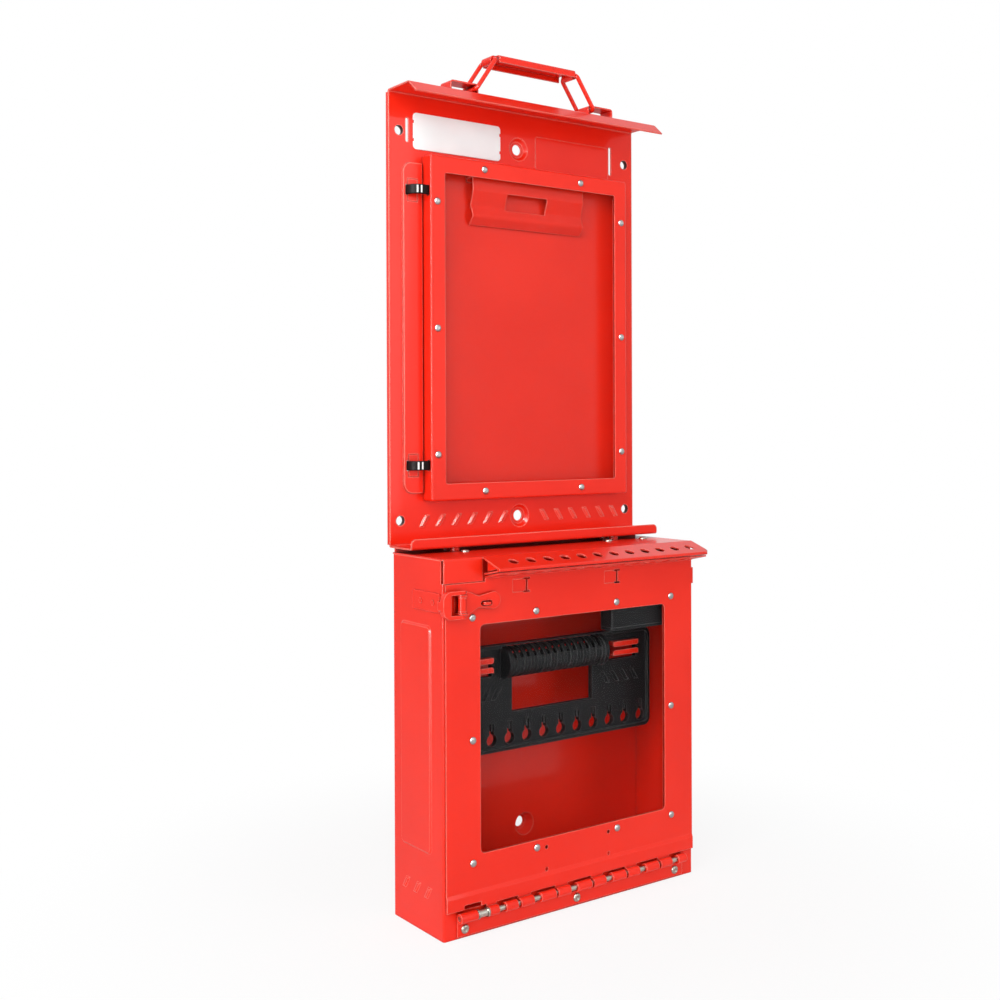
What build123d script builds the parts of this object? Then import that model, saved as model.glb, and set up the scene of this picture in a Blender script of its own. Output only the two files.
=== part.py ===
from build123d import *
import math
import os

os.makedirs("parts", exist_ok=True)

# Group lockout box with a document station above it, in millimetres.
# X runs across the front, Z is up, and the front faces -Y.
# Depths are measured forward from the wall plane, which touches the panel's back.

# Sheet metal and fits
sheet = 1.5
bend_radius = 2.5
moving_gap = 0.5
seat_gap = 0.3
pin_fit = 0.06
rivet_fit = 0.05

# Lower box
box_width = 320
box_height = 357
box_back = 10
box_front = 99
box_return = 12
front_sill = 26

# Station panel above the box
panel_width = 320
panel_height = 453
tray_gap = 4
wall_recess = 5
tray_reach = 40
tray_lip = 10.5
tray_corner = 5
hood_reach = 38
hood_lip_run = 12.7
hood_lip_drop = 11.4
return_height = 448
corner_hole = 9.6
corner_collar = 1.3
corner_inset = 12
corner_rise = 26
corner_span = 388
center_hole = 11
dimple_radius = 12
center_low = 25
center_high = 413

# Label plate and slots beside it
label_width = 107.5
label_height = 36.4
label_thickness = 1.0
label_x = -78
label_rise = 415.5
label_corner = 4
slot_width = 3.4
left_slot_x = -138.5
left_slot_length = 24
left_slot_rise = 415.5
right_slot_x = 127.4
right_slot_length = 31
right_slot_rise = 415.5
blank_width = 102
blank_height = 35
blank_x = 73.5
blank_rise = 412
blank_raise = 0.4

# Slanted bars pressed into panel and box sides
dash_width = 5.5
dash_height = 11.5
dash_slant = 7.5
dash_taper = 45
side_dash_width = 6.5
dash_raise = 1.4
dash_count = 6
dash_pitch = 19.6
left_dash_x = -119.7
right_dash_x = 33
dash_rise = 24.6

# Document frame in front of the panel
frame_width = 258.5
frame_height = 346.5
frame_depth = 15.5
frame_front = 21
frame_x = 8.4
frame_z = 579
window_margin_x = 17
window_margin_z = 17.2
window_corner = 2.5
pane = 2.0
pane_lap = 13
retainer = 1.2
frame_rivet_x = 121.4
frame_rivet_z = 164.7
frame_rivet_mid_x = 63.6
frame_rivet_mid_z = 126.7
rivet_head_radius = 3.6
rivet_head_height = 2.0
rivet_shank_radius = 1.6
rivet_tail_radius = 2.6
rivet_tail_height = 1.0

# Raised strip of the panel and the two rings that the frame swings on
strip_left = -144.5
strip_width = 22.2
strip_raise = 2.5
strip_low = 414
strip_high = 744
strip_corner = 10
score_width = 12
score_height = 23
score_depth = 0.5
ring_x = -128
ring_depth = 6
ring_outer = 13.5
ring_band = 2.0
ring_back = 4.8
ring_round = 0.9
ring_height = 9.5
ring_low = 441.7
ring_high = 716.5

# Document clip inside the frame
clip_width = 146
clip_x = 8
clip_plate = 1.2
clip_pin_radius = 1.5
clip_pin_depth = 11
clip_pin_z = 739
clip_knuckle_radius = 3.2
clip_ear = 2
clip_cut_width = 53
clip_cut_height = 17
clip_cut_x = 5
clip_base_height = 14
clip_root_bow = 1.4
clip_bow = 2.2
clip_waist_bow = 2.6
clip_root = 2.2
clip_brow = 16
clip_waist = 31
clip_hip = 42
clip_tail = 50
clip_tail_gap = 1.2
clip_bend = 3

# Drop handle on the hood
handle_depth = 25.5
leg_span = 25
rod_radius = 2.25
link_corner = 4
bar_x = 52.5
bar_rise = 40
foot_x = 76.6
foot_rise = 5.8
grip_half = 49.5
grip_plate = 1.8
grip_round = 3.2
grip_flange = 7.5
grip_curl_radius = 4
bridge_x = 89
bridge_inner = 31
bridge_inner_height = 10
bridge_flange = 8
bridge_width = 18
bridge_bend = 1.9

# V-nose lock bar of the box cover
nose_inset = 45
nose_left = nose_inset - box_width / 2
nose_right = box_width / 2
nose_tip = 127.3
nose_tip_drop = 10.8
nose_tip_radius = 1.7
nose_root = 99
return_root = 102
return_root_drop = 17.3
padlock_count = 12
padlock_pitch = 21
padlock_inset = 26.1
padlock_first_x = nose_left + padlock_inset
padlock_depth = 113.9
padlock_hole = 10
skirt_bottom = 333.8
skirt_inset = 0.5
edge_roll = 1.2
relief = 3
gusset_gap = 4
gusset_short = 6
gusset_lift = 2
nose_corner = 7

# Door, hinged along its lower edge
door_side_gap = 2
door_width = box_width - 2 * door_side_gap
door_front = 101
door_bottom = 27
door_top = 336.8
door_knee = 39
door_knee_rise = 3.4
door_knee_set = 1.2
door_flange_reach = 22.5
door_flange_rise = 5.2
door_window_width = 237.5
door_window_height = 217
door_window_z = 184.2
door_window_corner = 5
door_rivet_x = 127.6
door_rivet_z = 116
door_rivet_mid_x = 51.8
door_tab_reach = 2.3
door_tab_height = 17
door_tab_z = 320
service_hole = 3.6
service_x = 40
service_low = 44.8
service_high = 66.6
pierced_width = 7.5
pierced_height = 12.5
pierced_cut = 1.6
pierced_field = 17
pierced_sink = 0.4
pierced_z = 326.6
pierced_x = (-63.4, 52.6)

# Piano hinge under the door
pin_depth = 104
pin_z = 20.5
pin_radius = 2.5
knuckle_radius = 4.7
leaf_left_inset = 14.2
leaf_left = leaf_left_inset - box_width / 2
leaf_right_inset = 16.5
leaf_right = box_width / 2 - leaf_right_inset
leaf_bottom = 2
leaf_low_top = 15.2
hinge_pitch = 45.7
fixed_knuckle = 17.8
fixed_first_x = -51
door_knuckle = 15.8
door_first_x = -76
knuckle_groups = 5
collar_inset = 19.8
collar_left = leaf_left + collar_inset
long_knuckle_left = -93.5
long_knuckle_right = -79.8
last_knuckle_left = 132
short_knuckle_left = -113
short_knuckle_right = -102
collar_length = 12.6
collar_radius = 3.6
collar_rim_radius = 4.7
collar_rim = 1.6
notch_inset = 7.1
notch_left = leaf_left + notch_inset
notch_width = 19.5
notch_top = 31
screw_head_radius = 4.4
screw_head_height = 2.2
screw_shank_radius = 1.75
hinge_screw_z = 8.4
hinge_screw_inset = 8.8
hinge_screw_mid_x = -1.5
hinge_screw_right_inset = 11
hinge_screw_x = (
    leaf_left + hinge_screw_inset,
    hinge_screw_mid_x,
    leaf_right - hinge_screw_right_inset,
)

# Corner latch
latch_inset = 16.5
latch_x = latch_inset - box_width / 2
latch_depth = 107.2
latch_mid_z = 314.6
latch_pin_radius = 2
latch_height = 26
latch_arm = 3.5
latch_ear = 1.5
latch_ear_radius = 5.2
latch_base = 1.2
barrel_radius = 4
barrel_rim_radius = 4.4
barrel_rim = 1.4
strap_thick = 6
strap_reach = 22.5
strap_left = latch_x - strap_reach
strap_band = 8.5
strap_corner = 9
strap_skin = 2.5
tongue_plate = 1.6
tongue_set = 2.1
tongue_root_low = 11.3
tongue_root_high = 11.7
tongue_neck_x = 20.5
tongue_neck_low = 4.4
tongue_neck_high = 6.2
tongue_eye_x = 37.5
tongue_eye_radius = 8.1
tongue_eye_rise = 1
tongue_slot_width = 13.3
tongue_slot_height = 5.1
tongue_slot_x = 29.5
staple_width = 8.5
staple_thick = 2.5
staple_reach = 8
staple_hole = 4.5
keeper_back = 48.5
keeper_front = 95.5
keeper_low = 306.3
keeper_high = 324.7
keeper_rivet_depth = (63.5, 84.5)

# Side pressings of the box
pressing_back = 25.1
pressing_front = 79.3
pressing_low = 76
pressing_high = 292.5
pressing_raise = 1.5
pressing_taper = 52
pressing_corner = 6
side_dash_depth = (33.4, 53, 72.3)
side_dash_z = 39

# Key rack inside the box
rack_width = 264
rack_low = 157
rack_high = 263
rack_front = 60
rack_plate = 6
rack_rim = 3
rack_rim_width = 3.5
rack_corner = 8
grip_left = -65.5
grip_right = 64
grip_radius = 15.5
grip_wall = 2.5
grip_cap = 5
grip_cap_radius = 16.5
grip_collar = 6
grip_groove = 1
grip_step = 0.3
grip_open_height = 5
seat_rise = 12
seat_fit = 0.1
grip_z = 245.2
grip_depth = 61
grip_slots = 14
grip_slot_width = 4.5
hand_left = -51.5
hand_right = 53
hand_low = 194.3
hand_corner_left = 5
hand_corner_right = 10
key_hole = 12
key_slot_width = 5.4
key_slot_height = 11
key_tongue_width = 2
key_tongue_height = 8
key_count = 12
key_pitch = 21.9
key_z = 168.5
tab_x = 95.5
tab_width = 35
tab_reach = 6
tab_pitch = 13.2
tab_top = 251.7
tab_lip = 5.5
tab_lip_round = 2.2
slot_bottom = 232
rack_tab_clear = 1.5
vent_count = 4
vent_pitch = 13.5
vent_first_x = 71
vent_z = 214

# Key chute behind the door
chute_left = 53
chute_right = 143
chute_front = 93
chute_back = 71
chute_low = 269
chute_high = 325
chute_foot_low = 308
chute_round = 6

# Screws between tray, spacers and cover
spacer_radius = 5
rail_width = 2
rail_inset = 2
tray_screw_x = 104
tray_screw_depth = (20, 36)
cover_screw_x = (-100, 86, 136)
cover_screw_depth = 48.5

# Derived places
total_depth = nose_tip
wall_y = total_depth / 2
panel_bottom = box_height + tray_gap
panel_top = panel_bottom + panel_height
tray_front = wall_recess + tray_reach
hood_front = wall_recess + hood_reach
hood_tip = hood_front + hood_lip_run
frame_back = frame_front - frame_depth
door_back = door_front - sheet
strip_front = wall_recess + strip_raise
rivet_hole_radius = rivet_shank_radius + rivet_fit
bar_z = panel_top + bar_rise
foot_z = panel_top + foot_rise
nose_tip_z = box_height - nose_tip_drop
return_root_z = box_height - return_root_drop


def fwd(depth):
    """Y of a point that lies depth in front of the wall plane."""
    return wall_y - depth


def facing(depth):
    """Plane at that depth whose normal points forward."""
    return Plane.XZ.offset(depth - wall_y)


def slanted_bar(direction, width=dash_width):
    """A slanted bar in the current sketch, leaning to one side."""
    half = dash_height / 2
    lean = direction * dash_slant / 2
    points = [
        (-width / 2 - lean, -half),
        (width / 2 - lean, -half),
        (width / 2 + lean, half),
        (-width / 2 + lean, half),
    ]
    Polygon(*points, align=None)


def ring_of_rivets(half_x, half_z, mid_x, mid_z):
    """Ten rivet places round a window: four corners, and mids on each side."""
    places = [(-half_x, mid_z), (half_x, mid_z), (-half_x, -mid_z), (half_x, -mid_z)]
    places += [(-half_x, 0), (half_x, 0)]
    return places + [(-mid_x, half_z), (mid_x, half_z), (-mid_x, -half_z), (mid_x, -half_z)]


frame_places = ring_of_rivets(frame_rivet_x, frame_rivet_z, frame_rivet_mid_x, frame_rivet_mid_z)
door_places = ring_of_rivets(door_rivet_x, door_rivet_z, door_rivet_mid_x, door_rivet_z)

# Station panel: one folded sheet with tray, face and hood
with BuildPart() as station_panel:
    with BuildSketch(Plane.YZ):
        with BuildLine():
            FilletPolyline(
                (fwd(tray_front), panel_bottom + tray_lip),
                (fwd(tray_front), panel_bottom),
                (fwd(wall_recess - sheet), panel_bottom),
                (fwd(wall_recess - sheet), panel_top),
                (fwd(hood_front), panel_top),
                (fwd(hood_tip), panel_top - hood_lip_drop),
                radius=bend_radius,
            )
            offset(amount=sheet, side=Side.LEFT)
        make_face()
    extrude(amount=panel_width / 2, both=True)
    lip_corners = station_panel.edges().filter_by(Axis.Y)
    lip_corners = lip_corners.filter_by_position(
        Axis.Z, panel_bottom + tray_lip - 0.1, panel_bottom + tray_lip + 0.1
    )
    fillet(lip_corners, radius=tray_corner)
    # Side returns reach back to the wall
    with BuildSketch(Plane.XY.offset(panel_bottom + bend_radius)):
        with GridLocations(panel_width - sheet, 0, 2, 1):
            with Locations((0, fwd(wall_recess / 2))):
                Rectangle(sheet, wall_recess)
    extrude(amount=return_height)
    # Raised strip at the left, pressed forward from the sheet
    strip_mid = strip_left + strip_width / 2
    strip_tall = strip_high - strip_low
    with BuildSketch(facing(wall_recess)):
        with Locations((strip_mid, strip_low + strip_tall / 2)):
            Rectangle(strip_width, strip_tall)
        fillet(vertices().group_by(Axis.X)[0], radius=strip_corner)
    extrude(amount=strip_raise)
    with BuildSketch(facing(wall_recess - sheet)):
        with Locations((strip_mid, strip_low + strip_tall / 2)):
            Rectangle(strip_width - 2 * sheet, strip_tall - 2 * sheet)
        fillet(vertices().group_by(Axis.X)[0], radius=strip_corner - sheet)
    extrude(amount=strip_raise, mode=Mode.SUBTRACT)
    # Slots that the two rings pass through
    ring_slot_x = ring_outer - ring_band / 2
    with BuildSketch(facing(strip_front)):
        with Locations((ring_x, ring_low), (ring_x, ring_high)):
            with GridLocations(2 * ring_slot_x - 0.1, 0, 2, 1):
                Rectangle(ring_band + 2 * seat_gap + 0.3, ring_height + 2 * seat_gap)
    extrude(amount=-(strip_raise + sheet), mode=Mode.SUBTRACT)
    # Fine scored windows round the ring slots
    with BuildSketch(facing(strip_front)):
        for level in (ring_low, ring_high):
            with Locations((ring_x - score_width / 2, level)):
                Rectangle(score_width, score_height)
                Rectangle(score_width - 1.2, score_height - 1.2, mode=Mode.SUBTRACT)
    extrude(amount=-score_depth, mode=Mode.SUBTRACT)
    # Bare raised field and the slanted bars
    with BuildSketch(facing(wall_recess)):
        with Locations((blank_x, panel_bottom + blank_rise)):
            RectangleRounded(blank_width, blank_height, 3)
    extrude(amount=blank_raise)
    with BuildSketch(facing(wall_recess)):
        for i in range(dash_count):
            with Locations((left_dash_x + i * dash_pitch, panel_bottom + dash_rise)):
                slanted_bar(1)
            with Locations((right_dash_x + i * dash_pitch, panel_bottom + dash_rise)):
                slanted_bar(-1)
    extrude(amount=dash_raise, taper=dash_taper)
    # Wall holes: four at the corners, two large ones on the centre line
    with BuildSketch(facing(wall_recess)):
        with Locations((0, panel_bottom + center_low), (0, panel_bottom + center_high)):
            Circle(dimple_radius)
        with Locations((left_slot_x, panel_bottom + left_slot_rise)):
            SlotOverall(left_slot_length, slot_width, rotation=90)
        with Locations((right_slot_x, panel_bottom + right_slot_rise)):
            SlotOverall(right_slot_length, slot_width, rotation=90)
    extrude(amount=-wall_recess, mode=Mode.SUBTRACT)
    # Collars behind the corner holes reach back to the wall plane
    corner_z = panel_bottom + corner_rise + corner_span / 2
    with BuildSketch(facing(0)):
        with Locations((0, corner_z)):
            with GridLocations(panel_width - 2 * corner_inset, corner_span, 2, 2):
                Circle(corner_hole / 2 + corner_collar)
    extrude(amount=wall_recess)
    with BuildSketch(facing(0)):
        with Locations((0, corner_z)):
            with GridLocations(panel_width - 2 * corner_inset, corner_span, 2, 2):
                Circle(corner_hole / 2)
    extrude(amount=wall_recess, mode=Mode.SUBTRACT)
    # Dimples pressed back to the wall plane round the large holes
    for rise in (center_low, center_high):
        with BuildSketch(Plane.YZ):
            with BuildLine():
                Polyline(
                    (fwd(wall_recess), panel_bottom + rise + dimple_radius),
                    (fwd(sheet), panel_bottom + rise + dimple_radius - 3.5),
                    (fwd(sheet), panel_bottom + rise + center_hole / 2),
                    (fwd(0), panel_bottom + rise + center_hole / 2),
                    (fwd(0), panel_bottom + rise + dimple_radius - 3),
                    (fwd(wall_recess - sheet), panel_bottom + rise + dimple_radius),
                    close=True,
                )
            make_face()
        revolve(axis=Axis((0, 0, panel_bottom + rise), (0, 1, 0)))
    # Holes for the clip bracket's screws and the tray screws
    with BuildSketch(Plane.XY.offset(panel_bottom)):
        for depth in tray_screw_depth:
            with Locations((-tray_screw_x, fwd(depth)), (tray_screw_x, fwd(depth))):
                Circle(screw_shank_radius + rivet_fit)
    extrude(amount=sheet, mode=Mode.SUBTRACT)
    # Rivet holes of the handle bridges
    rivet_reach = bridge_inner / 2 + sheet + bridge_flange / 2
    with BuildSketch(Plane.XY.offset(panel_top)):
        with Locations((-bridge_x, fwd(handle_depth)), (bridge_x, fwd(handle_depth))):
            with GridLocations(2 * rivet_reach, 0, 2, 1):
                Circle(rivet_hole_radius)
    extrude(amount=-sheet, mode=Mode.SUBTRACT)
station_panel.part.label = "station_panel"
export_step(station_panel.part, "parts/station_panel.step")

# White label plate on the panel
with BuildPart() as label_plate:
    with BuildSketch(facing(wall_recess)):
        with Locations((label_x, panel_bottom + label_rise)):
            RectangleRounded(label_width, label_height, label_corner)
            with GridLocations(label_width, label_height / 2, 2, 2):
                Rectangle(2.4, 3, mode=Mode.SUBTRACT)
    extrude(amount=label_thickness)
    fillet(label_plate.faces().sort_by(Axis.Y)[0].edges(), radius=0.3)
label_plate.part.label = "label_plate"
export_step(label_plate.part, "parts/label_plate.step")

# Two black rings, fixed in the panel, that the frame swings on
with BuildPart() as hinge_rings:
    for level in (ring_low, ring_high):
        with BuildSketch(Plane.XY.offset(level - ring_height / 2)):
            with Locations((ring_x, fwd(ring_depth))):
                Circle(ring_outer)
            with Locations((ring_x, fwd(ring_depth - ring_back))):
                Rectangle(
                    4 * ring_outer, 2 * ring_outer, align=(Align.CENTER, Align.MIN),
                    mode=Mode.SUBTRACT,
                )
        extrude(amount=ring_height)
        with BuildSketch(Plane.XY.offset(level - ring_height / 2)):
            with Locations((ring_x, fwd(ring_depth))):
                Circle(ring_outer - ring_band)
            with Locations((ring_x, fwd(ring_depth - ring_back + ring_band))):
                Rectangle(
                    4 * ring_outer, 2 * ring_outer, align=(Align.CENTER, Align.MIN),
                    mode=Mode.SUBTRACT,
                )
        extrude(amount=ring_height, mode=Mode.SUBTRACT)
    outer_rims = hinge_rings.edges().filter_by(GeomType.CIRCLE)
    fillet(outer_rims.filter_by(lambda e: abs(e.radius - ring_outer) < 0.01), radius=ring_round)
hinge_rings.part.label = "hinge_rings"
export_step(hinge_rings.part, "parts/hinge_rings.step")

# Document frame: a shallow pan that opens to the rear, with a window
window_width = frame_width - 2 * window_margin_x
window_height = frame_height - 2 * window_margin_z
with BuildPart() as document_frame:
    with BuildSketch(facing(frame_back)):
        with Locations((frame_x, frame_z)):
            RectangleRounded(frame_width, frame_height, bend_radius)
    extrude(amount=frame_depth)
    front_rim = document_frame.faces().sort_by(Axis.Y)[0].edges()
    fillet(front_rim, radius=bend_radius - 0.5)
    with BuildSketch(facing(frame_back)):
        with Locations((frame_x, frame_z)):
            RectangleRounded(
                frame_width - 2 * sheet, frame_height - 2 * sheet, bend_radius - 1.5
            )
    extrude(amount=frame_depth - sheet, mode=Mode.SUBTRACT)
    with BuildSketch(facing(frame_front)):
        with Locations((frame_x, frame_z)):
            RectangleRounded(window_width, window_height, window_corner)
            with Locations(*frame_places):
                Circle(rivet_hole_radius)
    extrude(amount=-sheet, mode=Mode.SUBTRACT)
    # Slots in the left wall that ride on the rings
    slot_back = ring_depth + 6.9
    slot_front = ring_depth + 12.2
    with BuildSketch(Plane.YZ.offset(frame_x - frame_width / 2)):
        for level in (ring_low, ring_high):
            with Locations((fwd((slot_back + slot_front) / 2), level)):
                Rectangle(slot_front - slot_back, ring_height + 2 * moving_gap)
    extrude(amount=sheet, mode=Mode.SUBTRACT)
document_frame.part.label = "document_frame"
export_step(document_frame.part, "parts/document_frame.step")

# Clear pane, retaining ring and rivets of the document frame
pane_front = frame_front - sheet
with BuildPart() as document_window:
    with BuildSketch(facing(pane_front)):
        with Locations((frame_x, frame_z)):
            Rectangle(window_width + 2 * pane_lap, window_height + 2 * pane_lap)
            with Locations(*frame_places):
                Circle(rivet_hole_radius, mode=Mode.SUBTRACT)
    extrude(amount=-pane)
document_window.part.label = "document_window"
export_step(document_window.part, "parts/document_window.step")

with BuildPart() as frame_retainer:
    with BuildSketch(facing(pane_front - pane)):
        with Locations((frame_x, frame_z)):
            Rectangle(window_width + 2 * pane_lap, window_height + 2 * pane_lap)
            Rectangle(window_width + sheet, window_height + sheet, mode=Mode.SUBTRACT)
            with Locations(*frame_places):
                Circle(rivet_hole_radius, mode=Mode.SUBTRACT)
    extrude(amount=-retainer)
frame_retainer.part.label = "frame_retainer"
export_step(frame_retainer.part, "parts/frame_retainer.step")

stack = sheet + pane + retainer
with BuildPart() as frame_rivets:
    with BuildSketch(facing(frame_front)):
        with Locations((frame_x, frame_z)):
            with Locations(*frame_places):
                Circle(rivet_head_radius)
    extrude(amount=rivet_head_height)
    fillet(frame_rivets.faces().group_by(Axis.Y)[0].edges(), radius=rivet_head_height - 0.2)
    with BuildSketch(facing(frame_front)):
        with Locations((frame_x, frame_z)):
            with Locations(*frame_places):
                Circle(rivet_shank_radius)
    extrude(amount=-stack)
    with BuildSketch(facing(frame_front - stack)):
        with Locations((frame_x, frame_z)):
            with Locations(*frame_places):
                Circle(rivet_tail_radius)
    extrude(amount=-rivet_tail_height)
frame_rivets.part.label = "frame_rivets"
export_step(frame_rivets.part, "parts/frame_rivets.step")

# Bracket on the panel that carries the document clip
ear_x = clip_width / 2 + moving_gap + clip_ear / 2
with BuildPart() as clip_bracket:
    with BuildSketch(facing(wall_recess)):
        with Locations((clip_x, clip_pin_z)):
            Rectangle(2 * ear_x + clip_ear, clip_base_height)
    extrude(amount=sheet)
    with BuildSketch(Plane.YZ.offset(clip_x - ear_x - clip_ear / 2)):
        with Locations((fwd(clip_pin_depth), clip_pin_z)):
            Circle(clip_knuckle_radius)
        with Locations((fwd((clip_pin_depth + wall_recess) / 2), clip_pin_z)):
            Rectangle(clip_pin_depth - wall_recess, 2 * clip_knuckle_radius)
    extrude(amount=clip_ear)
    with BuildSketch(Plane.YZ.offset(clip_x + ear_x - clip_ear / 2)):
        with Locations((fwd(clip_pin_depth), clip_pin_z)):
            Circle(clip_knuckle_radius)
        with Locations((fwd((clip_pin_depth + wall_recess) / 2), clip_pin_z)):
            Rectangle(clip_pin_depth - wall_recess, 2 * clip_knuckle_radius)
    extrude(amount=clip_ear)
    with BuildSketch(Plane.YZ.offset(clip_x - clip_width)):
        with Locations((fwd(clip_pin_depth), clip_pin_z)):
            Circle(clip_pin_radius + pin_fit)
    extrude(amount=2 * clip_width, mode=Mode.SUBTRACT)
clip_bracket.part.label = "clip_bracket"
export_step(clip_bracket.part, "parts/clip_bracket.step")

with BuildPart() as clip_pin:
    with BuildSketch(Plane.YZ.offset(clip_x - ear_x - clip_ear / 2)):
        with Locations((fwd(clip_pin_depth), clip_pin_z)):
            Circle(clip_pin_radius)
    extrude(amount=2 * ear_x + clip_ear)
clip_pin.part.label = "clip_pin"
export_step(clip_pin.part, "parts/clip_pin.step")

# Waved spring plate that presses on the papers
with BuildPart() as document_clip:
    with BuildSketch(Plane.YZ.offset(clip_x)):
        with BuildLine():
            FilletPolyline(
                (fwd(clip_pin_depth + clip_root_bow), clip_pin_z - clip_root),
                (fwd(clip_pin_depth + clip_bow), clip_pin_z - clip_brow),
                (fwd(clip_pin_depth - clip_waist_bow), clip_pin_z - clip_waist),
                (fwd(clip_pin_depth + clip_bow), clip_pin_z - clip_hip),
                (fwd(wall_recess + clip_tail_gap), clip_pin_z - clip_tail),
                radius=clip_bend,
            )
            offset(amount=clip_plate, side=Side.RIGHT)
        make_face()
    extrude(amount=clip_width / 2, both=True)
    with BuildSketch(Plane.YZ.offset(clip_x - clip_width / 2)):
        with Locations((fwd(clip_pin_depth), clip_pin_z)):
            Circle(clip_knuckle_radius)
    extrude(amount=clip_width)
    with BuildSketch(Plane.YZ.offset(clip_x - clip_width / 2)):
        with Locations((fwd(clip_pin_depth), clip_pin_z)):
            Circle(clip_pin_radius + pin_fit)
    extrude(amount=clip_width, mode=Mode.SUBTRACT)
    with BuildSketch(facing(frame_front)):
        with Locations((clip_cut_x, clip_pin_z - clip_brow - clip_cut_height / 2)):
            RectangleRounded(clip_cut_width, clip_cut_height, 2)
    extrude(amount=-frame_depth, mode=Mode.SUBTRACT)
document_clip.part.label = "document_clip"
export_step(document_clip.part, "parts/document_clip.step")

# Hat-shaped bridges riveted to the hood
with BuildPart() as handle_bridges:
    for side_x in (-bridge_x, bridge_x):
        half = bridge_inner / 2
        with BuildSketch(facing(handle_depth - bridge_width / 2)):
            with BuildLine():
                FilletPolyline(
                    (side_x - half - sheet - bridge_flange, panel_top),
                    (side_x - half, panel_top),
                    (side_x - half, panel_top + bridge_inner_height),
                    (side_x + half, panel_top + bridge_inner_height),
                    (side_x + half, panel_top),
                    (side_x + half + sheet + bridge_flange, panel_top),
                    radius=bridge_bend,
                )
                offset(amount=sheet, side=Side.LEFT)
            make_face()
        extrude(amount=bridge_width)
    with BuildSketch(Plane.XY.offset(panel_top)):
        with Locations((-bridge_x, fwd(handle_depth)), (bridge_x, fwd(handle_depth))):
            with GridLocations(2 * rivet_reach, 0, 2, 1):
                Circle(rivet_hole_radius)
    extrude(amount=sheet + 0.1, mode=Mode.SUBTRACT)
handle_bridges.part.label = "handle_bridges"
export_step(handle_bridges.part, "parts/handle_bridges.step")

with BuildPart() as bridge_rivets:
    with BuildSketch(Plane.XY.offset(panel_top + sheet)):
        with Locations((-bridge_x, fwd(handle_depth)), (bridge_x, fwd(handle_depth))):
            with GridLocations(2 * rivet_reach, 0, 2, 1):
                Circle(rivet_head_radius - 0.6)
    extrude(amount=rivet_head_height)
    fillet(bridge_rivets.faces().group_by(Axis.Z)[-1].edges(), radius=rivet_head_height - 0.3)
    with BuildSketch(Plane.XY.offset(panel_top + sheet)):
        with Locations((-bridge_x, fwd(handle_depth)), (bridge_x, fwd(handle_depth))):
            with GridLocations(2 * rivet_reach, 0, 2, 1):
                Circle(rivet_shank_radius)
    extrude(amount=-2 * sheet)
    with BuildSketch(Plane.XY.offset(panel_top - sheet)):
        with Locations((-bridge_x, fwd(handle_depth)), (bridge_x, fwd(handle_depth))):
            with GridLocations(2 * rivet_reach, 0, 2, 1):
                Circle(rivet_tail_radius)
    extrude(amount=-rivet_tail_height)
bridge_rivets.part.label = "bridge_rivets"
export_step(bridge_rivets.part, "parts/bridge_rivets.step")

# Grip: a flanged plate whose ends curl round the top bars of the links
curl_length = leg_span - 2 * (link_corner + moving_gap)
with BuildPart() as handle_grip:
    grip_top = bar_z + grip_curl_radius
    grip_wide = leg_span + 2 * rod_radius
    with BuildSketch(Plane.XY.offset(grip_top - grip_flange)):
        with Locations((0, fwd(handle_depth))):
            Rectangle(2 * grip_half, grip_wide)
    extrude(amount=grip_flange)
    long_rims = handle_grip.edges().filter_by(Axis.X).group_by(Axis.Z)[-1]
    fillet(long_rims, radius=grip_round)
    with BuildSketch(Plane.XY.offset(grip_top - grip_flange)):
        with Locations((0, fwd(handle_depth))):
            Rectangle(2 * grip_half, grip_wide - 2 * grip_plate)
    extrude(amount=grip_flange - grip_plate, mode=Mode.SUBTRACT)
    for side_x in (-bar_x, bar_x):
        with BuildSketch(facing(handle_depth - curl_length / 2)):
            with Locations((side_x, bar_z)):
                Circle(grip_curl_radius)
            with Locations((side_x - math.copysign(bar_x - grip_half, side_x), bar_z)):
                with Locations((0, grip_curl_radius - grip_plate / 2)):
                    Rectangle(2 * (bar_x - grip_half), grip_plate)
        extrude(amount=curl_length)
    for side_x in (-bar_x, bar_x):
        with BuildSketch(facing(handle_depth - curl_length / 2)):
            with Locations((side_x, bar_z)):
                Circle(rod_radius + pin_fit)
        extrude(amount=curl_length, mode=Mode.SUBTRACT)
handle_grip.part.label = "handle_grip"
export_step(handle_grip.part, "parts/handle_grip.step")

# Rectangular wire links between grip and bridges
link_run = foot_x - bar_x
link_rise = bar_z - foot_z
link_length = math.hypot(link_run, link_rise)
left_link_plane = Plane(
    origin=(-foot_x, fwd(handle_depth), foot_z),
    x_dir=(link_run, 0, link_rise),
    z_dir=(-link_rise, 0, link_run),
)
link_outline = Pos(link_length / 2, 0) * RectangleRounded(link_length, leg_span, link_corner)
link_wire = (left_link_plane * link_outline).wire()
with BuildPart() as handle_link_left:
    with BuildSketch(Plane(origin=link_wire @ 0, z_dir=link_wire % 0)):
        Circle(rod_radius)
    sweep(path=link_wire)
handle_link_left.part.label = "handle_link_left"
export_step(handle_link_left.part, "parts/handle_link_left.step")

with BuildPart() as handle_link_right:
    add(mirror(handle_link_left.part, about=Plane.YZ, mode=Mode.PRIVATE))
handle_link_right.part.label = "handle_link_right"
export_step(handle_link_right.part, "parts/handle_link_right.step")

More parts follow.
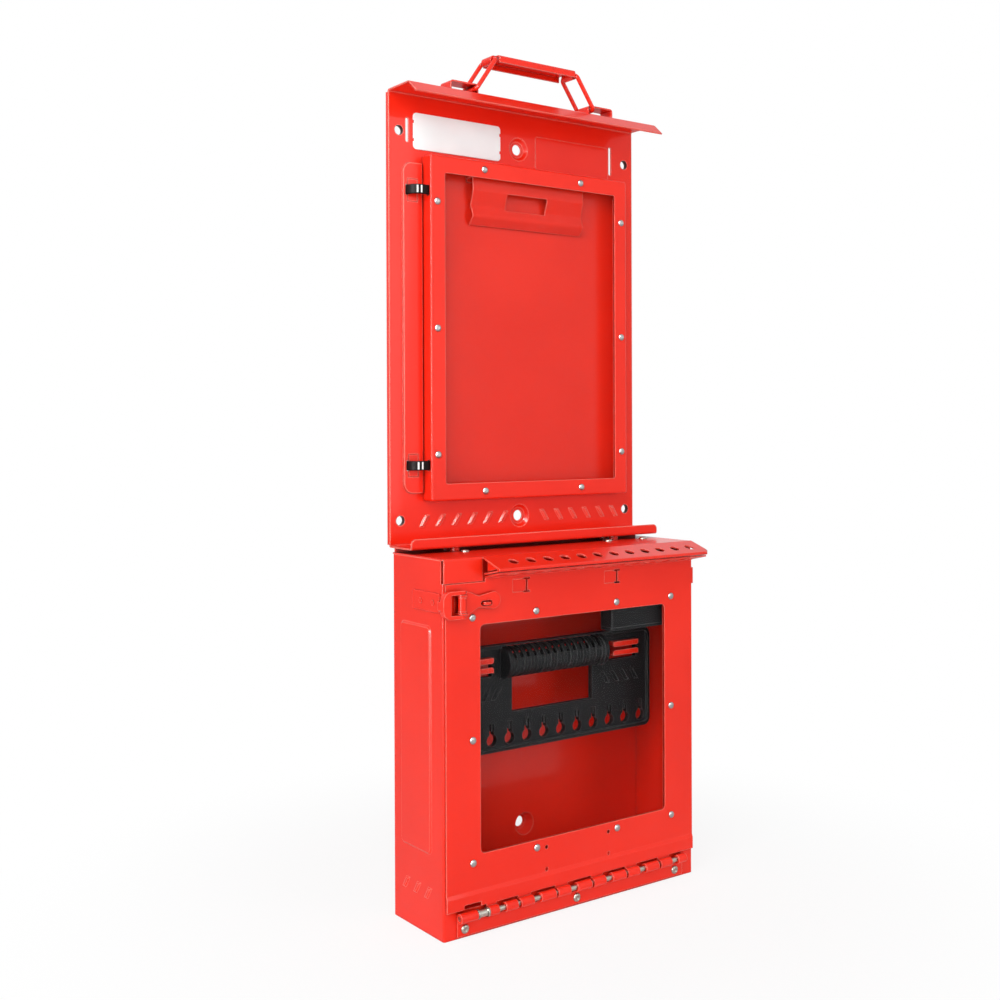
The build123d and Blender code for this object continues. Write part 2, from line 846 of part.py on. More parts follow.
# Box shell: sides, back and front returns from one folded strip, with a floor
with BuildPart() as box_shell:
    with BuildSketch(Plane.XY):
        with BuildLine():
            FilletPolyline(
                (-box_width / 2 + box_return, fwd(box_front)),
                (-box_width / 2, fwd(box_front)),
                (-box_width / 2, fwd(box_back)),
                (box_width / 2, fwd(box_back)),
                (box_width / 2, fwd(box_front)),
                (box_width / 2 - box_return, fwd(box_front)),
                radius=bend_radius,
            )
            offset(amount=sheet, side=Side.RIGHT)
        make_face()
    extrude(amount=box_height - sheet)
    with BuildSketch(Plane.XY):
        with Locations((0, fwd((box_back + box_front) / 2))):
            Rectangle(box_width - sheet, box_front - box_back - sheet)
    extrude(amount=sheet)
    with BuildSketch(facing(box_front - sheet)):
        with Locations((0, front_sill / 2)):
            Rectangle(box_width - 2 * box_return + 1, front_sill)
    extrude(amount=sheet)
    # Pressed field and slanted bars on both sides
    for plane_x, lean in ((-box_width / 2, -1), (box_width / 2, 1)):
        with BuildSketch(Plane.YZ.offset(plane_x)):
            with Locations(
                (fwd((pressing_back + pressing_front) / 2), (pressing_low + pressing_high) / 2)
            ):
                RectangleRounded(
                    pressing_front - pressing_back, pressing_high - pressing_low, pressing_corner
                )
        extrude(amount=lean * pressing_raise, taper=pressing_taper)
        with BuildSketch(Plane.YZ.offset(plane_x)):
            for depth in side_dash_depth:
                with Locations((fwd(depth), side_dash_z)):
                    slanted_bar(-1, side_dash_width)
        extrude(amount=lean * dash_raise, taper=dash_taper)
    # Relief at the upper left corner, behind the cover's skirt
    with BuildSketch(Plane.XY.offset(skirt_bottom)):
        with Locations((-box_width / 2, fwd(box_front))):
            Rectangle(2 * box_return + 2, 2 * relief)
    extrude(amount=box_height - skirt_bottom, mode=Mode.SUBTRACT)
    # Wall hole in a dimple pressed back to the wall plane
    with BuildSketch(facing(box_back)):
        with Locations((0, 60)):
            Circle(dimple_radius)
    extrude(amount=sheet, mode=Mode.SUBTRACT)
    with BuildSketch(Plane.YZ):
        with BuildLine():
            Polyline(
                (fwd(box_back + sheet), 60 + dimple_radius),
                (fwd(sheet), 60 + dimple_radius - 4),
                (fwd(sheet), 60 + center_hole / 2),
                (fwd(0), 60 + center_hole / 2),
                (fwd(0), 60 + dimple_radius - 3),
                (fwd(box_back), 60 + dimple_radius),
                close=True,
            )
        make_face()
    revolve(axis=Axis((0, 0, 60), (0, 1, 0)))
    # Screw holes of the hinge leaf, holes of the latch keeper's rivets
    with BuildSketch(facing(box_front)):
        with Locations(*[(x, hinge_screw_z) for x in hinge_screw_x]):
            Circle(screw_shank_radius + rivet_fit)
    extrude(amount=-sheet, mode=Mode.SUBTRACT)
    with BuildSketch(Plane.YZ.offset(-box_width / 2)):
        for depth in keeper_rivet_depth:
            with Locations((fwd(depth), (keeper_low + keeper_high) / 2)):
                Circle(rivet_hole_radius)
    extrude(amount=sheet, mode=Mode.SUBTRACT)
box_shell.part.label = "box_shell"
export_step(box_shell.part, "parts/box_shell.step")

# Box cover: top plate, front skirt at the left and V-nose lock bar
with BuildPart() as box_cover:
    with BuildSketch(Plane.XY.offset(box_height - sheet)):
        with Locations((0, fwd((box_back + box_front) / 2))):
            Rectangle(box_width, box_front - box_back)
    extrude(amount=sheet)
    with BuildSketch(Plane.XY.offset(skirt_bottom)):
        with Locations(((-box_width / 2 + skirt_inset + nose_left) / 2, fwd(box_front))):
            Rectangle(
                nose_left + box_width / 2 - skirt_inset, sheet, align=(Align.CENTER, Align.MAX)
            )
    extrude(amount=box_height - skirt_bottom)
    skirt_bend = box_cover.edges().filter_by(Axis.X).group_by(Axis.Y)[0].group_by(Axis.Z)[-1]
    fillet(skirt_bend, radius=bend_radius - 0.5)
    # Rolled side edges of the top plate
    with BuildSketch(facing(box_back)):
        for side in (-1, 1):
            with Locations((side * (box_width / 2 - edge_roll / 2), box_height - edge_roll / 2)):
                Rectangle(edge_roll, edge_roll)
            with Locations((side * (box_width / 2 - edge_roll), box_height - edge_roll)):
                Circle(edge_roll, mode=Mode.SUBTRACT)
    extrude(amount=box_front - box_back, mode=Mode.SUBTRACT)
    with BuildSketch(Plane.YZ.offset(nose_left)):
        with BuildLine():
            Polyline(
                (fwd(nose_root - 2), box_height),
                (fwd(nose_root), box_height),
                (fwd(nose_tip - nose_tip_radius + 0.5), nose_tip_z + 0.94 * nose_tip_radius),
                (fwd(nose_tip - nose_tip_radius), nose_tip_z),
                (fwd(nose_root), box_height - sheet),
                (fwd(nose_root - 2), box_height - sheet),
                close=True,
            )
        make_face()
        with BuildLine():
            Polyline(
                (fwd(return_root), return_root_z),
                (fwd(nose_tip - nose_tip_radius), nose_tip_z - nose_tip_radius),
                (fwd(nose_tip - nose_tip_radius), nose_tip_z - nose_tip_radius + sheet),
                (fwd(return_root), return_root_z + sheet),
                close=True,
            )
        make_face()
        with Locations((fwd(nose_tip - nose_tip_radius), nose_tip_z)):
            Circle(nose_tip_radius)
    extrude(amount=nose_right - nose_left)
    # Triangular end plates that close the nose
    for end_x in (nose_left + sheet, nose_right - 2 * sheet):
        with BuildSketch(Plane.YZ.offset(end_x)):
            with BuildLine():
                Polyline(
                    (fwd(return_root + gusset_gap), box_height - 3.5),
                    (fwd(nose_tip - gusset_short), nose_tip_z + gusset_lift),
                    (fwd(nose_tip - gusset_short), nose_tip_z + 0.5),
                    (fwd(return_root + gusset_gap), return_root_z + sheet + gusset_lift),
                    close=True,
                )
            make_face()
        extrude(amount=sheet)
    # Rounded corner at the bar's right end
    with BuildSketch(Plane.XY.offset(return_root_z)):
        with Locations((nose_right, fwd(nose_tip))):
            Rectangle(2 * nose_corner, 2 * nose_corner)
        with Locations((nose_right - nose_corner, fwd(nose_tip - nose_corner))):
            Circle(nose_corner, mode=Mode.SUBTRACT)
    extrude(amount=return_root_drop, mode=Mode.SUBTRACT)
    # Padlock holes, straight down through both plates
    with BuildSketch(Plane.XY.offset(return_root_z - 2)):
        for i in range(padlock_count):
            with Locations((padlock_first_x + i * padlock_pitch, fwd(padlock_depth))):
                Circle(padlock_hole / 2)
    extrude(amount=return_root_drop + 4, mode=Mode.SUBTRACT)
    # Screw holes
    with BuildSketch(Plane.XY.offset(box_height)):
        for depth in tray_screw_depth:
            with Locations((-tray_screw_x, fwd(depth)), (tray_screw_x, fwd(depth))):
                Circle(screw_shank_radius + rivet_fit)
        for x in cover_screw_x:
            with Locations((x, fwd(cover_screw_depth))):
                Circle(screw_shank_radius + rivet_fit)
    extrude(amount=-sheet, mode=Mode.SUBTRACT)
box_cover.part.label = "box_cover"
export_step(box_cover.part, "parts/box_cover.step")


# Spacers, tray screws and cover screws
with BuildPart() as tray_spacers:
    with BuildSketch(Plane.XY.offset(box_height)):
        for depth in tray_screw_depth:
            with Locations((-tray_screw_x, fwd(depth)), (tray_screw_x, fwd(depth))):
                Circle(spacer_radius)
                Circle(screw_shank_radius + rivet_fit, mode=Mode.SUBTRACT)
        with Locations((0, fwd(box_back))):
            Rectangle(box_width - 2 * rail_inset, rail_width, align=(Align.CENTER, Align.MAX))
    extrude(amount=tray_gap)
tray_spacers.part.label = "tray_spacers"
export_step(tray_spacers.part, "parts/tray_spacers.step")

with BuildPart() as tray_screws:
    with BuildSketch(Plane.XY.offset(panel_bottom + sheet)):
        for depth in tray_screw_depth:
            with Locations((-tray_screw_x, fwd(depth)), (tray_screw_x, fwd(depth))):
                Circle(screw_head_radius)
    extrude(amount=screw_head_height)
    fillet(tray_screws.faces().group_by(Axis.Z)[-1].edges(), radius=screw_head_height - 0.4)
    with BuildSketch(Plane.XY.offset(panel_bottom + sheet)):
        for depth in tray_screw_depth:
            with Locations((-tray_screw_x, fwd(depth)), (tray_screw_x, fwd(depth))):
                Circle(screw_shank_radius)
    extrude(amount=-(tray_gap + 2 * sheet + 3))
tray_screws.part.label = "tray_screws"
export_step(tray_screws.part, "parts/tray_screws.step")

with BuildPart() as cover_screws:
    with BuildSketch(Plane.XY.offset(box_height)):
        for x in cover_screw_x:
            with Locations((x, fwd(cover_screw_depth))):
                Circle(screw_head_radius)
    extrude(amount=screw_head_height)
    fillet(cover_screws.faces().group_by(Axis.Z)[-1].edges(), radius=screw_head_height - 0.4)
    with BuildSketch(Plane.XY.offset(box_height)):
        for x in cover_screw_x:
            with Locations((x, fwd(cover_screw_depth))):
                Circle(screw_shank_radius)
    extrude(amount=-(sheet + 3))
    with BuildSketch(Plane.XY.offset(box_height + screw_head_height)):
        for x in cover_screw_x:
            with Locations((x, fwd(cover_screw_depth))):
                Rectangle(0.9, screw_head_radius)
                Rectangle(screw_head_radius, 0.9)
    extrude(amount=-1, mode=Mode.SUBTRACT)
cover_screws.part.label = "cover_screws"
export_step(cover_screws.part, "parts/cover_screws.step")

# Piano hinge: fixed leaf, pin and collar
fixed_spans = [
    (leaf_left, collar_left - moving_gap),
    (long_knuckle_left, long_knuckle_right),
]
fixed_spans += [
    (fixed_first_x + i * hinge_pitch, fixed_first_x + i * hinge_pitch + fixed_knuckle)
    for i in range(knuckle_groups - 1)
]
fixed_spans += [(last_knuckle_left, leaf_right)]
door_spans = [(short_knuckle_left, short_knuckle_right)]
door_spans += [
    (door_first_x + i * hinge_pitch, door_first_x + i * hinge_pitch + door_knuckle)
    for i in range(knuckle_groups)
]

with BuildPart() as hinge_leaf:
    with BuildSketch(facing(box_front)):
        with Locations(((leaf_left + leaf_right - 3.5) / 2, (leaf_bottom + leaf_low_top) / 2)):
            Rectangle(leaf_right - leaf_left - 3.5, leaf_low_top - leaf_bottom)
        for x0, x1 in fixed_spans:
            with Locations(((x0 + x1) / 2, (leaf_bottom + pin_z) / 2)):
                Rectangle(x1 - x0, pin_z - leaf_bottom)
    extrude(amount=sheet)
    for x0, x1 in fixed_spans:
        with BuildSketch(Plane.YZ.offset(x0)):
            with Locations((fwd(pin_depth), pin_z)):
                Circle(knuckle_radius)
        extrude(amount=x1 - x0)
    with BuildSketch(Plane.YZ.offset(leaf_left)):
        with Locations((fwd(pin_depth), pin_z)):
            Circle(pin_radius + pin_fit)
    extrude(amount=leaf_right - leaf_left, mode=Mode.SUBTRACT)
    with BuildSketch(facing(box_front + sheet)):
        with Locations(*[(x, hinge_screw_z) for x in hinge_screw_x]):
            Circle(screw_shank_radius + rivet_fit)
    extrude(amount=-sheet, mode=Mode.SUBTRACT)
hinge_leaf.part.label = "hinge_leaf"
export_step(hinge_leaf.part, "parts/hinge_leaf.step")

with BuildPart() as hinge_pin:
    with BuildSketch(Plane.YZ.offset(leaf_left + 0.5)):
        with Locations((fwd(pin_depth), pin_z)):
            Circle(pin_radius)
    extrude(amount=leaf_right - leaf_left - 1)
hinge_pin.part.label = "hinge_pin"
export_step(hinge_pin.part, "parts/hinge_pin.step")

with BuildPart() as hinge_collar:
    with BuildSketch(Plane.YZ.offset(collar_left)):
        with Locations((fwd(pin_depth), pin_z)):
            Circle(collar_radius)
    extrude(amount=collar_length)
    for rim_x in (collar_left, collar_left + collar_length - collar_rim):
        with BuildSketch(Plane.YZ.offset(rim_x)):
            with Locations((fwd(pin_depth), pin_z)):
                Circle(collar_rim_radius)
        extrude(amount=collar_rim)
    with BuildSketch(Plane.YZ.offset(collar_left)):
        with Locations((fwd(pin_depth), pin_z)):
            Circle(pin_radius + pin_fit)
    extrude(amount=collar_length, mode=Mode.SUBTRACT)
hinge_collar.part.label = "hinge_collar"
export_step(hinge_collar.part, "parts/hinge_collar.step")

with BuildPart() as hinge_screws:
    with BuildSketch(facing(box_front + sheet)):
        with Locations(*[(x, hinge_screw_z) for x in hinge_screw_x]):
            Circle(screw_head_radius)
    extrude(amount=screw_head_height)
    fillet(hinge_screws.faces().group_by(Axis.Y)[0].edges(), radius=screw_head_height - 0.4)
    with BuildSketch(facing(box_front + sheet)):
        with Locations(*[(x, hinge_screw_z) for x in hinge_screw_x]):
            Circle(screw_shank_radius)
    extrude(amount=-(2 * sheet + 3))
    with BuildSketch(facing(box_front + sheet + screw_head_height)):
        with Locations(*[(x, hinge_screw_z) for x in hinge_screw_x]):
            Rectangle(0.9, screw_head_radius)
            Rectangle(screw_head_radius, 0.9)
    extrude(amount=-1, mode=Mode.SUBTRACT)
hinge_screws.part.label = "hinge_screws"
export_step(hinge_screws.part, "parts/hinge_screws.step")

# Door: folded sheet with window, lock flange on top and hinge knuckles below
flange_left = nose_left + 2
flange_right = nose_right - 2
with BuildPart() as door_panel:
    with BuildSketch(Plane.YZ.offset(-door_width / 2)):
        with BuildLine():
            Polyline(
                (fwd(door_front + door_knee_set), door_bottom),
                (fwd(door_front + door_knee_set), door_knee),
                (fwd(door_front), door_knee + door_knee_rise),
                (fwd(door_front), skirt_bottom - moving_gap),
                (fwd(door_back), skirt_bottom - moving_gap),
                (fwd(door_back), door_bottom),
                close=True,
            )
        make_face()
    extrude(amount=door_width)
    with BuildSketch(Plane.YZ.offset(flange_left)):
        with BuildLine():
            FilletPolyline(
                (fwd(door_front), door_top - 10),
                (fwd(door_front), door_top),
                (fwd(door_front + door_flange_reach), door_top + door_flange_rise),
                radius=1,
            )
            offset(amount=sheet, side=Side.RIGHT)
        make_face()
    extrude(amount=flange_right - flange_left)
    with BuildSketch(facing(door_back)):
        with Locations((door_width / 2, door_tab_z)):
            Rectangle(2 * door_tab_reach, door_tab_height)
    extrude(amount=sheet)
    with BuildSketch(facing(door_front)):
        with Locations((0, door_window_z)):
            RectangleRounded(door_window_width, door_window_height, door_window_corner)
            with Locations(*door_places):
                Circle(rivet_hole_radius)
        with Locations((0, (service_low + service_high) / 2)):
            with GridLocations(2 * service_x, service_high - service_low, 2, 2):
                Circle(service_hole / 2)
        for x in pierced_x:
            with Locations((x, pierced_z)):
                Rectangle(pierced_cut, pierced_height)
                with Locations((0, pierced_height / 2), (0, -pierced_height / 2)):
                    Rectangle(pierced_width, pierced_cut)
    extrude(amount=-sheet, mode=Mode.SUBTRACT)
    with BuildSketch(facing(door_front)):
        for x in pierced_x:
            with Locations((x - pierced_field / 2, pierced_z)):
                Rectangle(pierced_field, pierced_height)
    extrude(amount=-pierced_sink, mode=Mode.SUBTRACT)
    with BuildSketch(facing(door_front + door_knee_set)):
        with Locations((notch_left + notch_width / 2, (door_bottom + notch_top) / 2)):
            Rectangle(notch_width, notch_top - door_bottom)
    extrude(amount=-3 * sheet, mode=Mode.SUBTRACT)
    with BuildSketch(Plane.XY.offset(door_top)):
        for i in range(padlock_count):
            with Locations((padlock_first_x + i * padlock_pitch, fwd(padlock_depth))):
                Circle(padlock_hole / 2)
    extrude(amount=2 * door_flange_rise, mode=Mode.SUBTRACT)
    with BuildSketch(facing(door_back)):
        for x0, x1 in door_spans:
            with Locations(((x0 + x1) / 2, (pin_z + door_bottom + 4) / 2)):
                Rectangle(x1 - x0, door_bottom + 4 - pin_z)
    extrude(amount=sheet + door_knee_set)
    for x0, x1 in door_spans:
        with BuildSketch(Plane.YZ.offset(x0)):
            with Locations((fwd(pin_depth), pin_z)):
                Circle(knuckle_radius)
        extrude(amount=x1 - x0)
    with BuildSketch(Plane.YZ.offset(leaf_left)):
        with Locations((fwd(pin_depth), pin_z)):
            Circle(pin_radius + pin_fit)
    extrude(amount=leaf_right - leaf_left, mode=Mode.SUBTRACT)
door_panel.part.label = "door_panel"
export_step(door_panel.part, "parts/door_panel.step")

with BuildPart() as door_window:
    with BuildSketch(facing(door_back)):
        with Locations((0, door_window_z)):
            Rectangle(door_window_width + 2 * pane_lap, door_window_height + 2 * pane_lap)
            with Locations(*door_places):
                Circle(rivet_hole_radius, mode=Mode.SUBTRACT)
    extrude(amount=-pane)
door_window.part.label = "door_window"
export_step(door_window.part, "parts/door_window.step")

with BuildPart() as door_retainer:
    with BuildSketch(facing(door_back - pane)):
        with Locations((0, door_window_z)):
            Rectangle(door_window_width + 2 * pane_lap, door_window_height + 2 * pane_lap)
            Rectangle(door_window_width + sheet, door_window_height + sheet, mode=Mode.SUBTRACT)
            with Locations(*door_places):
                Circle(rivet_hole_radius, mode=Mode.SUBTRACT)
    extrude(amount=-retainer)
door_retainer.part.label = "door_retainer"
export_step(door_retainer.part, "parts/door_retainer.step")

with BuildPart() as door_rivets:
    with BuildSketch(facing(door_front)):
        with Locations((0, door_window_z)):
            with Locations(*door_places):
                Circle(rivet_head_radius)
    extrude(amount=rivet_head_height)
    fillet(door_rivets.faces().group_by(Axis.Y)[0].edges(), radius=rivet_head_height - 0.2)
    with BuildSketch(facing(door_front)):
        with Locations((0, door_window_z)):
            with Locations(*door_places):
                Circle(rivet_shank_radius)
    extrude(amount=-stack)
    with BuildSketch(facing(door_front - stack)):
        with Locations((0, door_window_z)):
            with Locations(*door_places):
                Circle(rivet_tail_radius)
    extrude(amount=-rivet_tail_height)
door_rivets.part.label = "door_rivets"
export_step(door_rivets.part, "parts/door_rivets.step")

# Black key chute on the inside of the door
with BuildPart() as key_chute:
    chute_mid = (chute_left + chute_right) / 2
    with BuildSketch(Plane.XY.offset(chute_low)):
        with Locations((chute_mid, fwd((chute_back + chute_front) / 2))):
            RectangleRounded(chute_right - chute_left, chute_front - chute_back, chute_round)
    extrude(amount=chute_high - chute_low)
    with BuildSketch(Plane.XY.offset(chute_low + 3)):
        with Locations((chute_mid, fwd((chute_back + chute_front) / 2))):
            Rectangle(chute_right - chute_left + 2, chute_front - chute_back + 2)
            Rectangle(
                chute_right - chute_left - 1.6, chute_front - chute_back - 1.6, mode=Mode.SUBTRACT
            )
    extrude(amount=chute_high - chute_low, mode=Mode.SUBTRACT)
    with BuildSketch(Plane.XY.offset(chute_foot_low)):
        with Locations((chute_mid, fwd(door_back))):
            Rectangle(
                chute_right - chute_left - 14,
                door_back - chute_front + 2,
                align=(Align.CENTER, Align.MIN),
            )
    extrude(amount=chute_high - chute_foot_low)
key_chute.part.label = "key_chute"
export_step(key_chute.part, "parts/key_chute.step")

# Latch: bracket, pin and staple on the door
latch_low = latch_mid_z - latch_height / 2
latch_high = latch_mid_z + latch_height / 2
ear_low = latch_low + latch_arm + seat_gap
ear_high = latch_high - latch_arm - seat_gap - latch_ear
with BuildPart() as latch_bracket:
    with BuildSketch(facing(door_front)):
        with Locations((latch_x, latch_mid_z)):
            Rectangle(2 * latch_ear_radius, ear_high + latch_ear - ear_low)
    extrude(amount=latch_base)
    for level in (ear_low, ear_high):
        with BuildSketch(Plane.XY.offset(level)):
            with Locations((latch_x, fwd(latch_depth))):
                Circle(latch_ear_radius)
            with Locations((latch_x, fwd((latch_depth + door_front) / 2))):
                Rectangle(2 * latch_ear_radius, latch_depth - door_front)
        extrude(amount=latch_ear)
    with BuildSketch(Plane.XY.offset(latch_low)):
        with Locations((latch_x, fwd(latch_depth))):
            Circle(latch_pin_radius + pin_fit)
    extrude(amount=latch_height, mode=Mode.SUBTRACT)
latch_bracket.part.label = "latch_bracket"
export_step(latch_bracket.part, "parts/latch_bracket.step")

with BuildPart() as latch_pin:
    with BuildSketch(Plane.XY.offset(latch_low)):
        with Locations((latch_x, fwd(latch_depth))):
            Circle(latch_pin_radius)
    extrude(amount=latch_height)
latch_pin.part.label = "latch_pin"
export_step(latch_pin.part, "parts/latch_pin.step")

staple_x = latch_x + tongue_slot_x - 0.2
with BuildPart() as latch_staple:
    with BuildSketch(Plane.XY.offset(latch_mid_z - 1.2 - staple_thick / 2)):
        with Locations((staple_x, fwd(door_front))):
            Rectangle(staple_width, staple_reach, align=(Align.CENTER, Align.MAX))
    extrude(amount=staple_thick)
    fillet(latch_staple.edges().filter_by(Axis.Z).group_by(Axis.Y)[0], radius=3)
    with BuildSketch(Plane.XY.offset(latch_mid_z - 4)):
        with Locations((staple_x, fwd(door_front + staple_reach - 3.6))):
            Circle(staple_hole / 2)
    extrude(amount=8, mode=Mode.SUBTRACT)
latch_staple.part.label = "latch_staple"
export_step(latch_staple.part, "parts/latch_staple.step")

# D-shaped strap that wraps the box corner
with BuildPart() as latch_strap:
    strap_mid = (strap_left + latch_x) / 2
    with BuildSketch(facing(latch_depth - strap_thick / 2)):
        with Locations((strap_mid, latch_mid_z)):
            Rectangle(latch_x - strap_left, latch_height)
    extrude(amount=strap_thick)
    for level in (latch_low, latch_high - latch_arm):
        with BuildSketch(Plane.XY.offset(level)):
            with Locations((latch_x, fwd(latch_depth))):
                Circle(strap_thick / 2 + 0.5)
        extrude(amount=latch_arm)
    with BuildSketch(facing(latch_depth - strap_thick)):
        with Locations(((strap_left + strap_band + latch_x + 8) / 2, latch_mid_z)):
            Rectangle(latch_x + 8 - strap_left - strap_band, latch_height - 2 * latch_arm)
    extrude(amount=2 * strap_thick, mode=Mode.SUBTRACT)
    with BuildSketch(facing(box_front + moving_gap)):
        with Locations((strap_left + strap_skin / 2, latch_mid_z)):
            Rectangle(strap_skin, latch_height - 2 * strap_corner)
    extrude(amount=latch_depth - box_front - moving_gap)
    outer = latch_strap.edges().filter_by(Axis.Y).group_by(Axis.X)[0]
    round_edges = outer.filter_by(lambda e: abs(abs(e.center().Z - latch_mid_z) - latch_height / 2) < 0.1)
    fillet(round_edges, radius=strap_corner)
    with BuildSketch(Plane.XY.offset(latch_low)):
        with Locations((latch_x, fwd(latch_depth))):
            Circle(latch_pin_radius + pin_fit)
    extrude(amount=latch_height, mode=Mode.SUBTRACT)
latch_strap.part.label = "latch_strap"
export_step(latch_strap.part, "parts/latch_strap.step")

# Tongue with its round eye, slotted over the staple
barrel_low = ear_low + latch_ear + seat_gap
barrel_high = ear_high - seat_gap
with BuildPart() as latch_tongue:
    with BuildSketch(Plane.XY.offset(barrel_low)):
        with Locations((latch_x, fwd(latch_depth))):
            Circle(barrel_radius)
    extrude(amount=barrel_high - barrel_low)
    for level in (barrel_low, barrel_high - barrel_rim):
        with BuildSketch(Plane.XY.offset(level)):
            with Locations((latch_x, fwd(latch_depth))):
                Circle(barrel_rim_radius)
        extrude(amount=barrel_rim)
    with BuildSketch(facing(latch_depth - tongue_set - tongue_plate)):
        with BuildLine():
            Polyline(
                (latch_x, barrel_low),
                (latch_x + latch_ear_radius + 0.6, barrel_low),
                (latch_x + latch_ear_radius + 1.2, latch_mid_z - tongue_root_low),
                (latch_x + tongue_neck_x, latch_mid_z - tongue_neck_low),
                (latch_x + tongue_eye_x, latch_mid_z + tongue_eye_rise - tongue_eye_radius),
                (latch_x + tongue_eye_x, latch_mid_z + tongue_eye_rise + tongue_eye_radius),
                (latch_x + tongue_neck_x, latch_mid_z + tongue_neck_high),
                (latch_x + latch_ear_radius + 1.2, latch_mid_z + tongue_root_high),
                (latch_x + latch_ear_radius + 0.6, barrel_high),
                (latch_x, barrel_high),
                close=True,
            )
        make_face()
        with Locations((latch_x + tongue_eye_x, latch_mid_z + tongue_eye_rise)):
            Circle(tongue_eye_radius)
        with Locations((latch_x + tongue_slot_x, latch_mid_z - 1.2)):
            SlotOverall(tongue_slot_width, tongue_slot_height, mode=Mode.SUBTRACT)
    extrude(amount=tongue_plate)
    with BuildSketch(Plane.XY.offset(barrel_low)):
        with Locations((latch_x, fwd(latch_depth))):
            Circle(latch_pin_radius + pin_fit)
    extrude(amount=barrel_high - barrel_low, mode=Mode.SUBTRACT)
latch_tongue.part.label = "latch_tongue"
export_step(latch_tongue.part, "parts/latch_tongue.step")

# Latch keeper riveted to the box side
keeper_mid = (keeper_low + keeper_high) / 2
with BuildPart() as latch_keeper:
    with BuildSketch(Plane.YZ.offset(-box_width / 2 - sheet)):
        with Locations((fwd((keeper_back + keeper_front) / 2), keeper_mid)):
            RectangleRounded(keeper_front - keeper_back, keeper_high - keeper_low, 1)
        for depth in keeper_rivet_depth:
            with Locations((fwd(depth), keeper_mid)):
                Circle(rivet_hole_radius, mode=Mode.SUBTRACT)
    extrude(amount=sheet)
    fillet(latch_keeper.faces().sort_by(Axis.X)[0].edges().filter_by(Axis.Y), radius=0.8)
latch_keeper.part.label = "latch_keeper"
export_step(latch_keeper.part, "parts/latch_keeper.step")

with BuildPart() as keeper_rivets:
    with BuildSketch(Plane.YZ.offset(-box_width / 2 - sheet)):
        for depth in keeper_rivet_depth:
            with Locations((fwd(depth), keeper_mid)):
                Circle(rivet_shank_radius)
    extrude(amount=2 * sheet)
    with BuildSketch(Plane.YZ.offset(-box_width / 2 + sheet)):
        for depth in keeper_rivet_depth:
            with Locations((fwd(depth), keeper_mid)):
                Circle(rivet_tail_radius)
    extrude(amount=rivet_tail_height)
    with BuildSketch(Plane.YZ.offset(-box_width / 2 - sheet)):
        for depth in keeper_rivet_depth:
            with Locations((fwd(depth), keeper_mid)):
                Circle(rivet_tail_radius)
    extrude(amount=-0.6)
keeper_rivets.part.label = "keeper_rivets"
export_step(keeper_rivets.part, "parts/keeper_rivets.step")

# Two brackets whose tabs reach through the key rack
rack_back = rack_front - rack_plate
with BuildPart() as rack_brackets:
    for side_x in (-tab_x, tab_x):
        with BuildSketch(facing(box_back + sheet)):
            with Locations((side_x, tab_top)):
                Rectangle(tab_width, tab_pitch + 2 * sheet, align=(Align.CENTER, Align.MAX))
        extrude(amount=sheet)
        for level in (tab_top - sheet, tab_top - tab_pitch - sheet):
            with BuildSketch(Plane.XY.offset(level)):
                with Locations((side_x, fwd((box_back + sheet + rack_front + tab_reach) / 2))):
                    Rectangle(tab_width, rack_front + tab_reach - box_back - sheet)
            extrude(amount=sheet)
        # Each tab ends in an upright lip with rounded ends
        with BuildSketch(facing(rack_front + tab_reach)):
            for lip_mid in (tab_top - tab_lip / 2, tab_top - tab_pitch - sheet + tab_lip / 2):
                with Locations((side_x, lip_mid)):
                    RectangleRounded(tab_width, tab_lip, tab_lip_round)
        extrude(amount=-sheet)
rack_brackets.part.label = "rack_brackets"
export_step(rack_brackets.part, "parts/rack_brackets.step")

